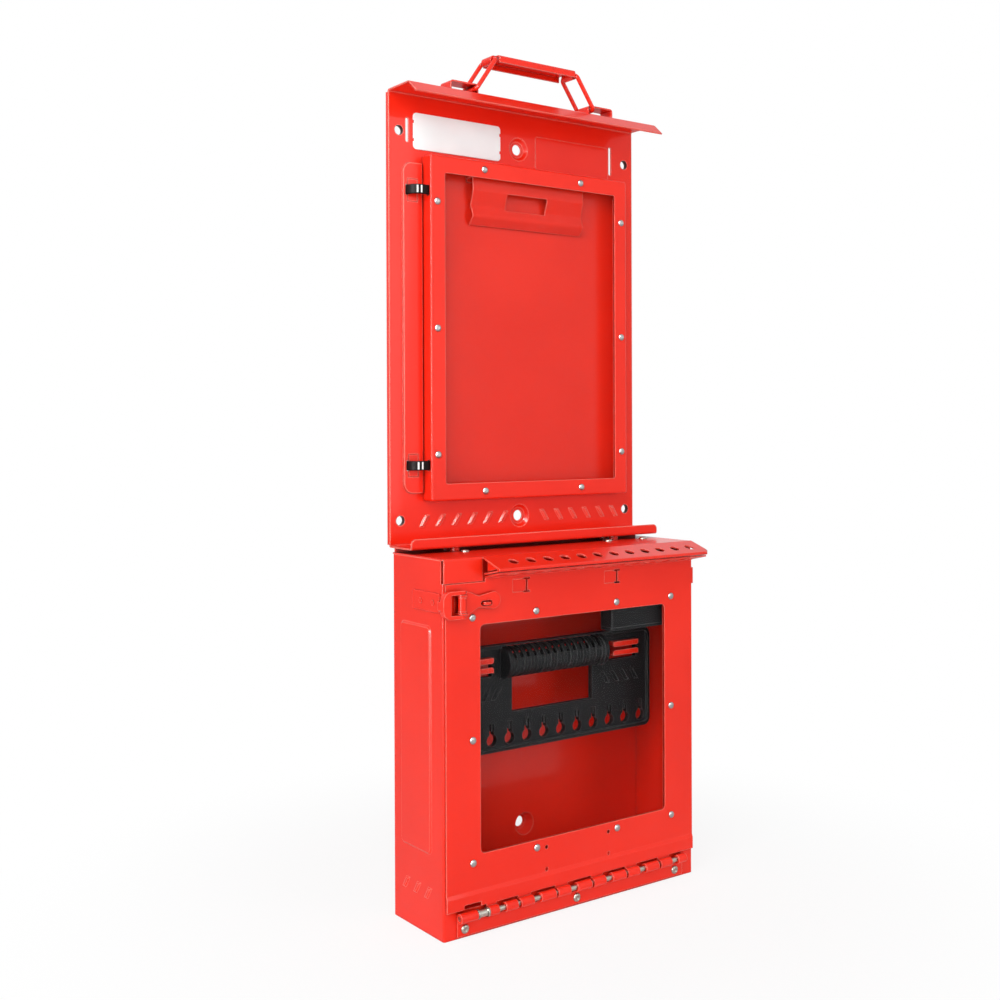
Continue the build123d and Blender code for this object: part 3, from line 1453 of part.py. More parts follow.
# Key rack: rimmed plate with hand opening, key holes and bracket slots
rack_mid_z = (rack_low + rack_high) / 2
with BuildPart() as key_rack:
    with BuildSketch(facing(rack_back)):
        with Locations((0, rack_mid_z)):
            RectangleRounded(rack_width, rack_high - rack_low, rack_corner)
    extrude(amount=rack_plate)
    with BuildSketch(facing(rack_front)):
        with Locations((0, rack_mid_z)):
            RectangleRounded(rack_width, rack_high - rack_low, rack_corner)
            RectangleRounded(
                rack_width - 2 * rack_rim_width,
                rack_high - rack_low - 2 * rack_rim_width,
                rack_corner - rack_rim_width,
                mode=Mode.SUBTRACT,
            )
    extrude(amount=rack_rim)
    with BuildSketch(facing(rack_back)):
        with Locations(((hand_left + hand_right) / 2, (hand_low + grip_z) / 2)):
            Rectangle(hand_right - hand_left, grip_z - hand_low)
        low_corners = vertices().group_by(Axis.Z)[0]
        fillet(low_corners.sort_by(Axis.X)[0], radius=hand_corner_left)
        fillet(vertices().group_by(Axis.Z)[0].sort_by(Axis.X)[-1], radius=hand_corner_right)
    extrude(amount=rack_plate + rack_rim, mode=Mode.SUBTRACT)
    with BuildSketch(facing(rack_back)):
        with Locations(((grip_left + grip_right) / 2, grip_z + seat_rise)):
            Rectangle(
                grip_right - grip_left,
                grip_cap_radius + seat_rise,
                align=(Align.CENTER, Align.MAX),
            )
        for i in range(key_count):
            with Locations(((i - (key_count - 1) / 2) * key_pitch, key_z)):
                Circle(key_hole / 2)
                with Locations((0, key_hole / 2 + key_slot_height / 2 - 1)):
                    RectangleRounded(key_slot_width, key_slot_height + 2, 2)
                with Locations((0, key_hole / 2 + key_slot_height - key_tongue_height / 2)):
                    Rectangle(key_tongue_width, key_tongue_height, mode=Mode.SUBTRACT)
        for side_x in (-tab_x, tab_x):
            slot_tall = tab_top + seat_gap - slot_bottom
            with Locations((side_x, slot_bottom + slot_tall / 2)):
                Rectangle(tab_width + 2 * rack_tab_clear, slot_tall)
    extrude(amount=rack_plate + rack_rim, mode=Mode.SUBTRACT)
    with BuildSketch(facing(rack_front)):
        for i in range(vent_count):
            with Locations((vent_first_x + i * vent_pitch, vent_z)):
                slanted_bar(-1)
            with Locations((-vent_first_x - i * vent_pitch, vent_z)):
                slanted_bar(1)
    extrude(amount=-sheet, mode=Mode.SUBTRACT)
    # Round seat for the grip
    with BuildSketch(Plane.YZ.offset(grip_left)):
        with Locations((fwd(grip_depth), grip_z)):
            Circle(grip_cap_radius + seat_fit)
    extrude(amount=grip_right - grip_left, mode=Mode.SUBTRACT)
key_rack.part.label = "key_rack"
export_step(key_rack.part, "parts/key_rack.step")

# Ribbed hollow grip of the rack
slot_span = grip_right - grip_left - grip_cap - grip_collar
grip_slot_pitch = slot_span / grip_slots
with BuildPart() as rack_grip:
    # Solid cap at the left, solid collar at the right
    for start, length in ((grip_left, grip_cap), (grip_right - grip_collar, grip_collar)):
        with BuildSketch(Plane.YZ.offset(start)):
            with Locations((fwd(grip_depth), grip_z)):
                Circle(grip_cap_radius)
        extrude(amount=length)
    for end_face in (rack_grip.faces().sort_by(Axis.X)[0], rack_grip.faces().sort_by(Axis.X)[-1]):
        fillet(end_face.edges(), radius=1.5)
    # Ribs are full rings, and between them lie narrower troughs that are open on top
    rib_width = grip_slot_pitch - grip_slot_width
    for i in range(grip_slots):
        trough_x = grip_left + grip_cap + i * grip_slot_pitch
        with BuildSketch(Plane.YZ.offset(trough_x)):
            with Locations((fwd(grip_depth), grip_z)):
                Circle(grip_radius - grip_groove)
                Circle(grip_radius - grip_wall - grip_step, mode=Mode.SUBTRACT)
                with Locations((0, grip_open_height)):
                    Rectangle(
                        3 * grip_radius,
                        grip_radius,
                        align=(Align.CENTER, Align.MIN),
                        mode=Mode.SUBTRACT,
                    )
        extrude(amount=grip_slot_width)
        with BuildSketch(Plane.YZ.offset(trough_x + grip_slot_width)):
            with Locations((fwd(grip_depth), grip_z)):
                Circle(grip_radius)
                Circle(grip_radius - grip_wall, mode=Mode.SUBTRACT)
        extrude(amount=rib_width)
rack_grip.part.label = "rack_grip"
export_step(rack_grip.part, "parts/rack_grip.step")
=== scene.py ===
# %% [markdown]
# A group lockout box with a permit station above it. The solids come from the CAD model and
# already have the right shape, so this lesson gives them their finishes, adds the fine detail
# that sheet-metal work shows up close, and lights the whole like a catalogue picture.

import math

import bpy
from mathutils import Matrix, Vector


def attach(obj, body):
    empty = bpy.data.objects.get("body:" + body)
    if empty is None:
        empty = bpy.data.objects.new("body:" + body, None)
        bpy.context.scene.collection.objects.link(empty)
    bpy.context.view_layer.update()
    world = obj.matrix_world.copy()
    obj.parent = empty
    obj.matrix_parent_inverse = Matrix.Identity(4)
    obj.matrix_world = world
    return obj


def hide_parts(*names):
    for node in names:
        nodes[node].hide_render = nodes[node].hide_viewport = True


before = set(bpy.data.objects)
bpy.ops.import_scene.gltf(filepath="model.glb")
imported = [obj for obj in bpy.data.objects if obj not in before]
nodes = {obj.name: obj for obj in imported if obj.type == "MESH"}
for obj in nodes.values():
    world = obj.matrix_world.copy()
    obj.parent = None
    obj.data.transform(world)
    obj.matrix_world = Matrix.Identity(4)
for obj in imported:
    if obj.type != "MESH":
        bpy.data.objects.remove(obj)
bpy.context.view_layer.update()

# %% [markdown]
# Depths on this station are easiest to read forward from the wall, as a fitter would measure
# them. One helper turns such a depth into the frame's Y, so that every later cell can use it.

# %% Depth from the wall
WALL_Y = 0.06365


def deep(depth_mm):
    """Y in metres of a point that stands depth_mm in front of the wall."""
    return WALL_Y - depth_mm / 1000


def place(x_mm, depth_mm, z_mm):
    """A point in metres from millimetres across, forward and up."""
    return Vector((x_mm / 1000, deep(depth_mm), z_mm / 1000))


print("wall plane at y", WALL_Y)

# %% [markdown]
# Shader nodes are long-winded when each Math node is placed by hand. A small class wraps a
# socket, so that sums and products of sockets read as plain arithmetic and build the nodes.

# %% Socket arithmetic


class Wire:
    """One output socket that can be added, multiplied and compared."""

    def __init__(self, tree, socket):
        self.tree = tree
        self.socket = socket

    def math(self, operation, *others):
        node = self.tree.nodes.new("ShaderNodeMath")
        node.operation = operation
        for i, value in enumerate((self, *others)):
            feed(self.tree, node.inputs[i], value)
        return Wire(self.tree, node.outputs[0])

    def __add__(self, other):
        return self.math("ADD", other)

    def __mul__(self, other):
        return self.math("MULTIPLY", other)

    def __sub__(self, other):
        return self.math("SUBTRACT", other)

    def __rsub__(self, other):
        return Wire.math(self * -1.0, "ADD", other)

    def __gt__(self, other):
        return self.math("GREATER_THAN", other)

    def ramp(self, low, high):
        """0 below low, 1 above high, smooth between."""
        node = self.tree.nodes.new("ShaderNodeMapRange")
        node.interpolation_type = "SMOOTHSTEP"
        feed(self.tree, node.inputs["Value"], self)
        node.inputs["From Min"].default_value = low
        node.inputs["From Max"].default_value = high
        return Wire(self.tree, node.outputs["Result"])


def feed(tree, socket, value):
    """Link a Wire, or set a plain value, on a socket."""
    if isinstance(value, Wire):
        tree.links.new(value.socket, socket)
    else:
        socket.default_value = value


print("socket arithmetic ready")

# %% [markdown]
# A finish is a network of nodes round one Principled shader. The same few steps come back in
# every finish, such as noise, a softened edge or the shade in a corner. A second class names
# each of them once, so that every finish below reads as a short recipe.

# %% Tools for a finish


def dimmed(tone, share):
    """A colour made darker, or a little brighter, by a share."""
    return tuple(part * share for part in tone)


class Finish:
    """A material whose nodes are made by name, starting from one Principled shader."""

    def __init__(self, name):
        material = bpy.data.materials.new(name)
        material.use_nodes = True
        self.take(material)

    @classmethod
    def of(cls, material):
        """The same tools on a material that is already made."""
        again = cls.__new__(cls)
        again.take(material)
        return again

    def take(self, material):
        self.material = material
        self.tree = material.node_tree
        self.shader = self.tree.nodes["Principled BSDF"]
        self.output = self.tree.nodes["Material Output"]

    def node(self, kind, settings=None, out=0, **inputs):
        made = self.tree.nodes.new(kind)
        for key, value in (settings or {}).items():
            setattr(made, key, value)
        for key, value in inputs.items():
            feed(self.tree, made.inputs[key.replace("_", " ")], value)
        return Wire(self.tree, made.outputs[out])

    def source(self, name):
        """What feeds a socket of the shader now."""
        return Wire(self.tree, self.shader.inputs[name].links[0].from_socket)

    def parts_of(self, vector):
        """The x, y and z of a vector as three wires."""
        apart = self.tree.nodes.new("ShaderNodeSeparateXYZ")
        feed(self.tree, apart.inputs[0], vector)
        return [Wire(self.tree, socket) for socket in apart.outputs]

    def place(self):
        """Object coordinates, in metres."""
        return self.node("ShaderNodeTexCoord", out="Object")

    def noise(self, scale, detail=3.0, rough=0.5, vector=None):
        return self.node("ShaderNodeTexNoise", out="Fac", Vector=vector or self.place(), Scale=scale,
                         Detail=detail, Roughness=rough)

    def stretched(self, x, y, z):
        """Object coordinates scaled along each axis, for brushed grain."""
        node = self.tree.nodes.new("ShaderNodeMapping")
        node.inputs["Scale"].default_value = (x, y, z)
        feed(self.tree, node.inputs["Vector"], self.place())
        return Wire(self.tree, node.outputs[0])

    def blend(self, mask, a, b):
        """Mix two colours by a mask."""
        node = self.tree.nodes.new("ShaderNodeMix")
        node.data_type = "RGBA"
        feed(self.tree, node.inputs["Factor"], mask)
        for socket, value in ((node.inputs[6], a), (node.inputs[7], b)):
            feed(self.tree, socket, value if isinstance(value, Wire) else (*value, 1.0))
        return Wire(self.tree, node.outputs[2])

    def soft_edge(self, radius):
        """A normal that turns gradually over every edge, as bent or moulded edges do."""
        return self.node("ShaderNodeBevel", {"samples": 4}, Radius=radius)

    def fold(self, edge):
        """How far the rounded normal leaves the flat one: 0 on faces, up to 1 on sharp folds."""
        flat = self.node("ShaderNodeNewGeometry", out="Normal")
        dot = self.tree.nodes.new("ShaderNodeVectorMath")
        dot.operation = "DOT_PRODUCT"
        feed(self.tree, dot.inputs[0], edge)
        feed(self.tree, dot.inputs[1], flat)
        return 1.0 - Wire(self.tree, dot.outputs["Value"])

    def nook(self, reach):
        """1 on open faces, falling to 0 deep in corners, slots and gaps."""
        return self.node("ShaderNodeAmbientOcclusion", {"samples": 4}, out="AO", Distance=reach)

    def bump(self, height, strength, distance, edge):
        return self.node("ShaderNodeBump", Height=height, Strength=strength, Distance=distance, Normal=edge)

    def set(self, **inputs):
        for key, value in inputs.items():
            feed(self.tree, self.shader.inputs[key.replace("_", " ")], value)


print("finish tools ready")

# %% [markdown]
# The sheet metal wears a glossy powder coat. Powder melts into a film that is smooth at arm's
# length and has a fine orange-peel ripple up close, so a faint noise bends the reflections,
# and a very slow noise shifts the red a little, as an uneven film does. Real folds are never
# sharp: the Bevel node bends the normal over the last millimetre of each edge. Light and shade
# are also painted into the red: a pale painted highlight along every fold, and painted shade in
# corners, slots and gaps, where ambient occlusion finds them.

# %% Red powder coat
DEEP_RED = (0.79, 0.017, 0.004)
BRIGHT_RED = (0.84, 0.021, 0.006)
HIGHLIGHT_RED = (1.0, 0.40, 0.32)
COAT_WEIGHT = 0.26


def powder_coat(name, gloss=0.27, reach=0.005, bend=0.0011, edge_highlight=0.8, shade=0.4):
    """Nooks get painted shade within reach and folds turn over bend, both in metres. The painted highlight
    and shade are shares.
    """
    coat = Finish(name)
    slow = coat.noise(9.0, 2.0).ramp(0.3, 0.7)
    ripple = coat.noise(420.0, 2.0, 0.4)
    specks = coat.noise(2600.0, 1.0)
    edge = coat.soft_edge(bend)
    nook = coat.nook(reach)
    film = coat.blend(slow, DEEP_RED, BRIGHT_RED)
    # Painted shade: the red darkens in corners, slots and gaps, where shade falls.
    film = coat.blend(nook.ramp(0.15, 0.85), dimmed(DEEP_RED, shade), film)
    # Painted highlight: a pale line of colour along every fold, where the lamps would glint.
    painted_highlight = coat.fold(edge).ramp(0.01, 0.14) * nook.ramp(0.4, 0.9) * edge_highlight
    film = coat.blend(painted_highlight, film, HIGHLIGHT_RED)
    coat.set(
        Base_Color=film,
        Roughness=specks * 0.06 + gloss,
        Normal=coat.bump(ripple, 0.07, 0.0004, edge),
        Specular_IOR_Level=0.19,
        Coat_Weight=COAT_WEIGHT,
        Coat_Roughness=0.05,
    )
    return coat.material


# Every coat paints a highlight on its folds and shade in its nooks. The latch and the cover paint their
# shade deeper and wider, into slots and padlock holes, and the clip's shade reaches only a little way.
red_coat = powder_coat("red_powder_coat")
clip_coat = powder_coat("red_clip_coat", reach=0.0012)
panel_coat = powder_coat("red_panel_coat", bend=0.0020)
latch_coat = powder_coat("red_latch_coat", gloss=0.22, reach=0.009, bend=0.0006, edge_highlight=1.0, shade=0.12)
cover_coat = powder_coat("red_cover_coat", reach=0.012, shade=0.08)
print(red_coat.name, clip_coat.name, panel_coat.name, latch_coat.name, cover_coat.name)

# %% [markdown]
# The walls of the panel's four corner collars lie deep in their own shade, so that shade is
# painted into their colour, and their coat is left off. Their places are mirrored left to
# right and top to bottom, so the absolute values of x and z fold all four on one spot, and a
# circle round that spot is the mask.

# %% Painted shade in the collars
COLLAR_SHADE = (0.05, 0.004, 0.003)


def darken_collars(material, corner_x, corner_z, mid_z, radius):
    wall = Finish.of(material)
    x, y, z = wall.parts_of(wall.place())
    from_x = x.math("ABSOLUTE", 0.0) - corner_x
    from_z = (z - mid_z).math("ABSOLUTE", 0.0) - corner_z
    outside = (from_x * from_x + from_z * from_z) > radius * radius
    painted = wall.source("Base Color")
    wall.set(Base_Color=wall.blend(outside, COLLAR_SHADE, painted), Coat_Weight=outside * COAT_WEIGHT)


darken_collars(panel_coat, corner_x=0.148, corner_z=0.194, mid_z=0.581, radius=0.00495)
print("collars on", panel_coat.name)

# %% [markdown]
# Rivets, screws and pins are bare zinc or aluminium. Rolling and plating leave a soft grain and
# uneven shine, so roughness carries stretched noise, and the base stays grey. Shade is painted
# nearly black into their pockets, such as a screw's socket.

# %% Plated steel


def plated_steel(name, tone, grain, rough):
    metal = Finish(name)
    streak = metal.noise(1.0, 4.0, 0.6, metal.stretched(*grain))
    cloud = metal.noise(60.0, 3.0)
    skin = metal.blend(cloud.ramp(0.35, 0.7), tone, dimmed(tone, 0.86))
    metal.set(
        # Painted shade: nearly black deep in pockets and sockets.
        Base_Color=metal.blend(metal.nook(0.0025).ramp(0.25, 0.85), dimmed(tone, 0.05), skin),
        Metallic=1.0,
        Roughness=streak * 0.16 + rough,
        Normal=metal.bump(streak, 0.08, 0.0002, metal.soft_edge(0.0003)),
    )
    return metal.material


zinc = plated_steel("zinc_plate", (0.42, 0.40, 0.35), grain=(120.0, 900.0, 900.0), rough=0.20)
rivet_metal = plated_steel("rivet_aluminium", (0.40, 0.39, 0.39), grain=(700.0, 700.0, 700.0), rough=0.22)
print(zinc.name, rivet_metal.name)

# %% [markdown]
# The rack, its grip, the rings and the chute are moulded black plastic. A mould's spark-eroded
# skin scatters light, so the plastic gets a fine bump and a roughness that wanders a little.
# Every moulding has shade painted darker into its corners and gaps, and the black ones a grey
# highlight painted along their folds. The write-on plate is the same kind of moulding in white,
# with a finer skin.

# %% Black and white mouldings
HIGHLIGHT_GREY = (0.5, 0.5, 0.5)


def moulding(name, tone, rough, grain, shine, edge_highlight=0.0):
    plastic = Finish(name)
    skin = plastic.noise(2200.0, 2.0)
    wander = plastic.noise(30.0, 2.0)
    body = plastic.blend(wander.ramp(0.3, 0.8), tone, dimmed(tone, 1.04))
    # Painted shade: darker in corners and gaps.
    body = plastic.blend(plastic.nook(0.005).ramp(0.1, 0.8), dimmed(tone, 0.4), body)
    edge = plastic.soft_edge(0.0008)
    # Painted highlight: grey along the folds, as if they caught the light.
    body = plastic.blend(plastic.fold(edge).ramp(0.02, 0.2) * edge_highlight, body, HIGHLIGHT_GREY)
    plastic.set(
        Base_Color=body,
        Roughness=wander * 0.12 + rough,
        Normal=plastic.bump(skin, grain, 0.0003, edge),
        Specular_IOR_Level=shine,
    )
    return plastic.material


black_moulding = moulding("black_moulding", (0.010, 0.010, 0.011), rough=0.36, grain=0.16, shine=0.14,
                          edge_highlight=0.22)
ring_moulding = moulding("black_ring_moulding", (0.008, 0.004, 0.004), rough=0.34, grain=0.10, shine=0.08,
                         edge_highlight=0.15)
white_plate = moulding("white_label_plate", (0.83, 0.94, 0.94), rough=0.30, grain=0.04, shine=0.3)
print(black_moulding.name, ring_moulding.name, white_plate.name)

# %% [markdown]
# Each ring has two upright ridges on its front, which catch the light as two pale strokes.
# Those glints are painted into its colour, and both rings share one mask, as the absolute
# value of z folds one on the other.

# %% Painted glints on the rings
GLINT_WHITE = (0.86, 0.84, 0.83)


def paint_ridge_glints(material, ridges, half_width, mid_z, ring_z, half_height):
    ring = Finish.of(material)
    x, y, z = ring.parts_of(ring.place())
    level = ((z - mid_z).math("ABSOLUTE", 0.0) - ring_z).math("ABSOLUTE", 0.0)
    near = [1.0 - (x - ridge).math("ABSOLUTE", 0.0).ramp(half_width * 0.7, half_width) for ridge in ridges]
    stroke = near[0].math("MAXIMUM", near[1]) * (1.0 - level.ramp(half_height * 0.85, half_height))
    # Painted highlight: two pale strokes where the ridges glint.
    ring.set(Base_Color=ring.blend(stroke, ring.source("Base Color"), GLINT_WHITE))


paint_ridge_glints(ring_moulding, ridges=(-0.1344, -0.1305), half_width=0.0009, mid_z=0.5791, ring_z=0.1374,
              half_height=0.0040)
print("ridges on", ring_moulding.name)

# %% [markdown]
# The two windows are clear acrylic. Straight on they vanish, and at a slant they mirror the
# room. Mixing a see-through shader with a glossy one by the viewing slope does exactly that,
# and casts no dark shadow on what is behind, which refracting glass would.

# %% Clear acrylic


def acrylic(name, tint, least, most):
    sheet = Finish(name)
    see = sheet.tree.nodes.new("ShaderNodeBsdfTransparent")
    see.inputs["Color"].default_value = (*tint, 1.0)
    slope = sheet.node("ShaderNodeLayerWeight", out="Fresnel", Blend=0.12)
    haze = sheet.noise(14.0, 3.0)
    sheet.set(Base_Color=(0.9, 0.92, 0.93, 1.0), Roughness=haze * 0.05 + 0.02, Metallic=1.0)
    mixed = sheet.tree.nodes.new("ShaderNodeMixShader")
    feed(sheet.tree, mixed.inputs[0], slope * most + least)
    sheet.tree.links.new(see.outputs[0], mixed.inputs[1])
    sheet.tree.links.new(sheet.shader.outputs[0], mixed.inputs[2])
    sheet.tree.links.new(mixed.outputs[0], sheet.output.inputs[0])
    return sheet.material


clear_pane = acrylic("clear_acrylic", tint=(0.97, 0.975, 0.975), least=0.002, most=0.10)
print(clear_pane.name)

# %% [markdown]
# Rivets and screws come in sets of one kind. Each kind is one Geometry Nodes tree that is run on
# a list of places, so a change of its size reaches them all. The tree takes its sizes by name,
# and what it makes is kept as a plain mesh. The sockets add and multiply as those of a shader
# do, so the class for trees builds on the one for finishes.

# %% Tools for a tree


class Sockets(Finish):
    """The same node maker for a Geometry Nodes tree, with its inputs by name."""

    def __init__(self, name, sizes):
        self.tree = bpy.data.node_groups.new(name, "GeometryNodeTree")
        face = self.tree.interface
        face.new_socket("Places", in_out="INPUT", socket_type="NodeSocketGeometry")
        for size in sizes:
            face.new_socket(size, in_out="INPUT", socket_type="NodeSocketFloat")
        face.new_socket("Facing", in_out="INPUT", socket_type="NodeSocketVector")
        face.new_socket("Finish", in_out="INPUT", socket_type="NodeSocketMaterial")
        face.new_socket("Mesh", in_out="OUTPUT", socket_type="NodeSocketGeometry")
        self.entry = self.tree.nodes.new("NodeGroupInput")
        self.leave = self.tree.nodes.new("NodeGroupOutput")

    def given(self, name):
        return Wire(self.tree, self.entry.outputs[name])

    def joined(self, *parts):
        node = self.tree.nodes.new("GeometryNodeJoinGeometry")
        for part in reversed(parts):
            self.tree.links.new(part.socket, node.inputs[0])
        return Wire(self.tree, node.outputs[0])

    def raised(self, mesh, z):
        """The mesh moved up by z."""
        shift = self.node("ShaderNodeCombineXYZ", Z=z)
        return self.node("GeometryNodeTransform", Geometry=mesh, Translation=shift)

    def finished(self, shape):
        """Put the shape on every place, realise it, give it its finish and end the tree."""
        spread = self.node("GeometryNodeInstanceOnPoints", Points=self.given("Places"), Instance=shape,
                           Rotation=self.given("Facing"))
        real = self.node("GeometryNodeRealizeInstances", Geometry=spread)
        smooth = self.node("GeometryNodeSetShadeSmooth", Geometry=real)
        done = self.node("GeometryNodeSetMaterial", Geometry=smooth, Material=self.given("Finish"))
        self.tree.links.new(done.socket, self.leave.inputs[0])
        return self.tree


def grown(name, tree, places, facing, finish, **sizes):
    """Run a tree on a list of places and keep the result as a plain mesh at the origin."""
    seeds = bpy.data.meshes.new(name + "_places")
    seeds.from_pydata([tuple(p) for p in places], [], [])
    piece = bpy.data.objects.new(name, seeds)
    bpy.context.scene.collection.objects.link(piece)
    grow = piece.modifiers.new("grow", "NODES")
    grow.node_group = tree
    values = {"Facing": facing, "Finish": finish}
    values.update({key.replace("_", " "): value for key, value in sizes.items()})
    for item in tree.interface.items_tree:
        if item.in_out == "INPUT" and item.name in values:
            grow[item.identifier] = values[item.name]
    settled = piece.evaluated_get(bpy.context.evaluated_depsgraph_get())
    mesh = bpy.data.meshes.new_from_object(settled)
    piece.modifiers.clear()
    piece.data = mesh
    mesh.name = name
    print(name, len(places), "places,", len(mesh.polygons), "faces")
    return piece


print("tree tools ready")

# %% [markdown]
# Ten blind rivets hold each window, and four hold the handle's bridges. A sphere with its lower
# half pressed flat is the dome, and a small dip at its top is where the rivet's mandrel broke
# off. A plain cylinder is the shank, and a flatter dome the tail.

# %% Rivet tree
DOME_SEGMENTS = 28
DOME_RINGS = 18
SHANK_SIDES = 20


def dome(tree, radius, height, dip=0.0, brim=0.09, pit=0.02):
    """Half a flattened sphere. Its top dips between brim and pit, both squared shares of the radius."""
    ball = tree.node("GeometryNodeMeshUVSphere", Segments=DOME_SEGMENTS, Rings=DOME_RINGS, Radius=1.0)
    where = tree.node("GeometryNodeInputPosition")
    x, y, z = tree.parts_of(where)
    middle = (x * x + y * y).ramp(brim, pit)
    raised = z.math("MAXIMUM", 0.0) * (1.0 - middle * dip)
    spot = tree.node("ShaderNodeCombineXYZ", X=x * radius, Y=y * radius, Z=raised * height)
    return tree.node("GeometryNodeSetPosition", Geometry=ball, Position=spot)


def shank(tree):
    """A plain round shank that hangs down from the head's seat."""
    length = tree.given("Shank Length")
    rod = tree.node("GeometryNodeMeshCylinder", Vertices=SHANK_SIDES, Radius=tree.given("Shank Radius"),
                    Depth=length)
    return tree.raised(rod, length * -0.5)


def rivet_tree():
    sizes = ("Head Radius", "Head Height", "Shank Radius", "Shank Length", "Tail Radius", "Tail Height")
    tree = Sockets("blind_rivet", sizes)
    head = dome(tree, tree.given("Head Radius"), tree.given("Head Height"), dip=0.16)
    tail = dome(tree, tree.given("Tail Radius"), tree.given("Tail Height") * -1.0)
    tail = tree.node("GeometryNodeFlipFaces", Mesh=tail)
    tail = tree.raised(tail, tree.given("Shank Length") * -1.0)
    return tree.finished(tree.joined(head, shank(tree), tail))


blind_rivet = rivet_tree()
print(blind_rivet.name, len(blind_rivet.nodes), "nodes")

# %% [markdown]
# The screws are pan heads with a round-bottomed socket. The same dome serves, with a dip that
# is deep and steep instead of shallow, so the socket has real depth, and the zinc finish paints
# shade into it as well.

# %% Screw tree


def screw_tree():
    tree = Sockets("pan_screw", ("Head Radius", "Head Height", "Shank Radius", "Shank Length"))
    head = dome(tree, tree.given("Head Radius"), tree.given("Head Height"), dip=0.85, brim=0.26, pit=0.13)
    return tree.finished(tree.joined(head, shank(tree)))


pan_screw = screw_tree()
print(pan_screw.name, len(pan_screw.nodes), "nodes")

# %% [markdown]
# Each CAD node keeps its mesh and gets one finish. A table from finish to nodes is shorter and
# safer than a line for each, and the check below shows that none was forgotten.

# %% Hand out the finishes
finishes = {
    red_coat: [
        "box_shell", "handle_bridges", "handle_grip",
        "handle_link_left", "handle_link_right", "document_frame", "frame_retainer",
        "door_panel", "door_retainer", "clip_bracket", "rack_brackets", "hinge_leaf", "tray_spacers",
    ],
    latch_coat: [
        "latch_bracket", "latch_pin", "latch_staple", "latch_strap", "latch_tongue",
        "latch_keeper", "keeper_rivets",
    ],
    clip_coat: ["document_clip"],
    cover_coat: ["box_cover"],
    panel_coat: ["station_panel"],
    zinc: ["hinge_pin", "hinge_collar", "hinge_screws", "cover_screws", "tray_screws", "clip_pin"],
    rivet_metal: ["frame_rivets", "door_rivets", "bridge_rivets"],
    black_moulding: ["key_rack", "rack_grip", "key_chute"],
    ring_moulding: ["hinge_rings"],
    white_plate: ["label_plate"],
    clear_pane: ["document_window", "door_window"],
}
for finish, names in finishes.items():
    for name in names:
        nodes[name].data.materials.clear()
        nodes[name].data.materials.append(finish)
covered = {name for names in finishes.values() for name in names}
print("without a finish:", sorted(set(nodes) - covered))

# %% [markdown]
# The rivets stand in a ring round each window: two on every side beside the corners, and one
# in the middle of each long side. The handle's bridges have two each, facing up.

# %% Rivets in their places


def ring_places(mid_x, mid_z, depth, half_x, half_z, near_x, near_z):
    spots = [(sx * half_x, sz * near_z) for sx in (-1, 1) for sz in (-1, 0, 1)]
    spots += [(sx * near_x, sz * half_z) for sx in (-1, 1) for sz in (-1, 1)]
    return [place(mid_x + x, depth, mid_z + z) for x, z in spots]


FORWARD = (math.radians(90), 0.0, 0.0)
SKYWARD = (0.0, 0.0, 0.0)
RIVET = dict(Head_Radius=0.0036, Head_Height=0.0020, Shank_Radius=0.0016, Shank_Length=0.0047,
             Tail_Radius=0.0026, Tail_Height=0.0010)
frame_spots = ring_places(mid_x=8.4, mid_z=579, depth=21, half_x=121.4, half_z=164.7, near_x=63.6,
                          near_z=126.7)
window_rivets = grown("frame_rivet_heads", blind_rivet, frame_spots, FORWARD, rivet_metal, **RIVET)
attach(window_rivets, "frame")
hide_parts("frame_rivets")
door_spots = ring_places(mid_x=0, mid_z=184.2, depth=101, half_x=127.6, half_z=116, near_x=51.8,
                         near_z=116)
lid_rivets = grown("door_rivet_heads", blind_rivet, door_spots, FORWARD, rivet_metal, **RIVET)
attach(lid_rivets, "door")
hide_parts("door_rivets")
BRIDGE_X = 89
FOOT_X = 21
bridge_spots = [place(sx * BRIDGE_X + sr * FOOT_X, 25.5, 815.5) for sx in (-1, 1) for sr in (-1, 1)]
top_rivets = grown("bridge_rivet_heads", blind_rivet, bridge_spots, SKYWARD, rivet_metal,
                   **{**RIVET, "Head_Radius": 0.0030, "Shank_Length": 0.0030})
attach(top_rivets, "station")
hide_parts("bridge_rivets")

# %% [markdown]
# Screws hold the hinge leaf along the box's lower edge, the cover on the box, and the panel's
# tray on its spacers. All three sets come from the same tree, turned forward or up.

# %% Screws in their places
SCREW = dict(Head_Radius=0.0044, Head_Height=0.0022, Shank_Radius=0.00175)
SHORT = 0.0045
LONG = 0.0100
screw_sets = {
    "hinge_screws": ([place(x, 100.5, 8.4) for x in (-137.0, -1.5, 132.5)], FORWARD, SHORT),
    "cover_screws": ([place(x, 48.5, 357.0) for x in (-100, 86, 136)], SKYWARD, SHORT),
    "tray_screws": ([place(x, depth, 362.5) for x in (-104, 104) for depth in (20, 36)], SKYWARD, LONG),
}
for name, (spots, facing, length) in screw_sets.items():
    screws = grown(name.replace("screws", "screw_heads"), pan_screw, spots, facing, zinc,
                   Shank_Length=length, **SCREW)
    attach(screws, "station")
    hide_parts(name)

# %% [markdown]
# A catalogue picture stands on an endless pale floor. The floor is matte near the object, so
# that it carries a soft shadow, and fades to the white of the background further out.

# %% Floor


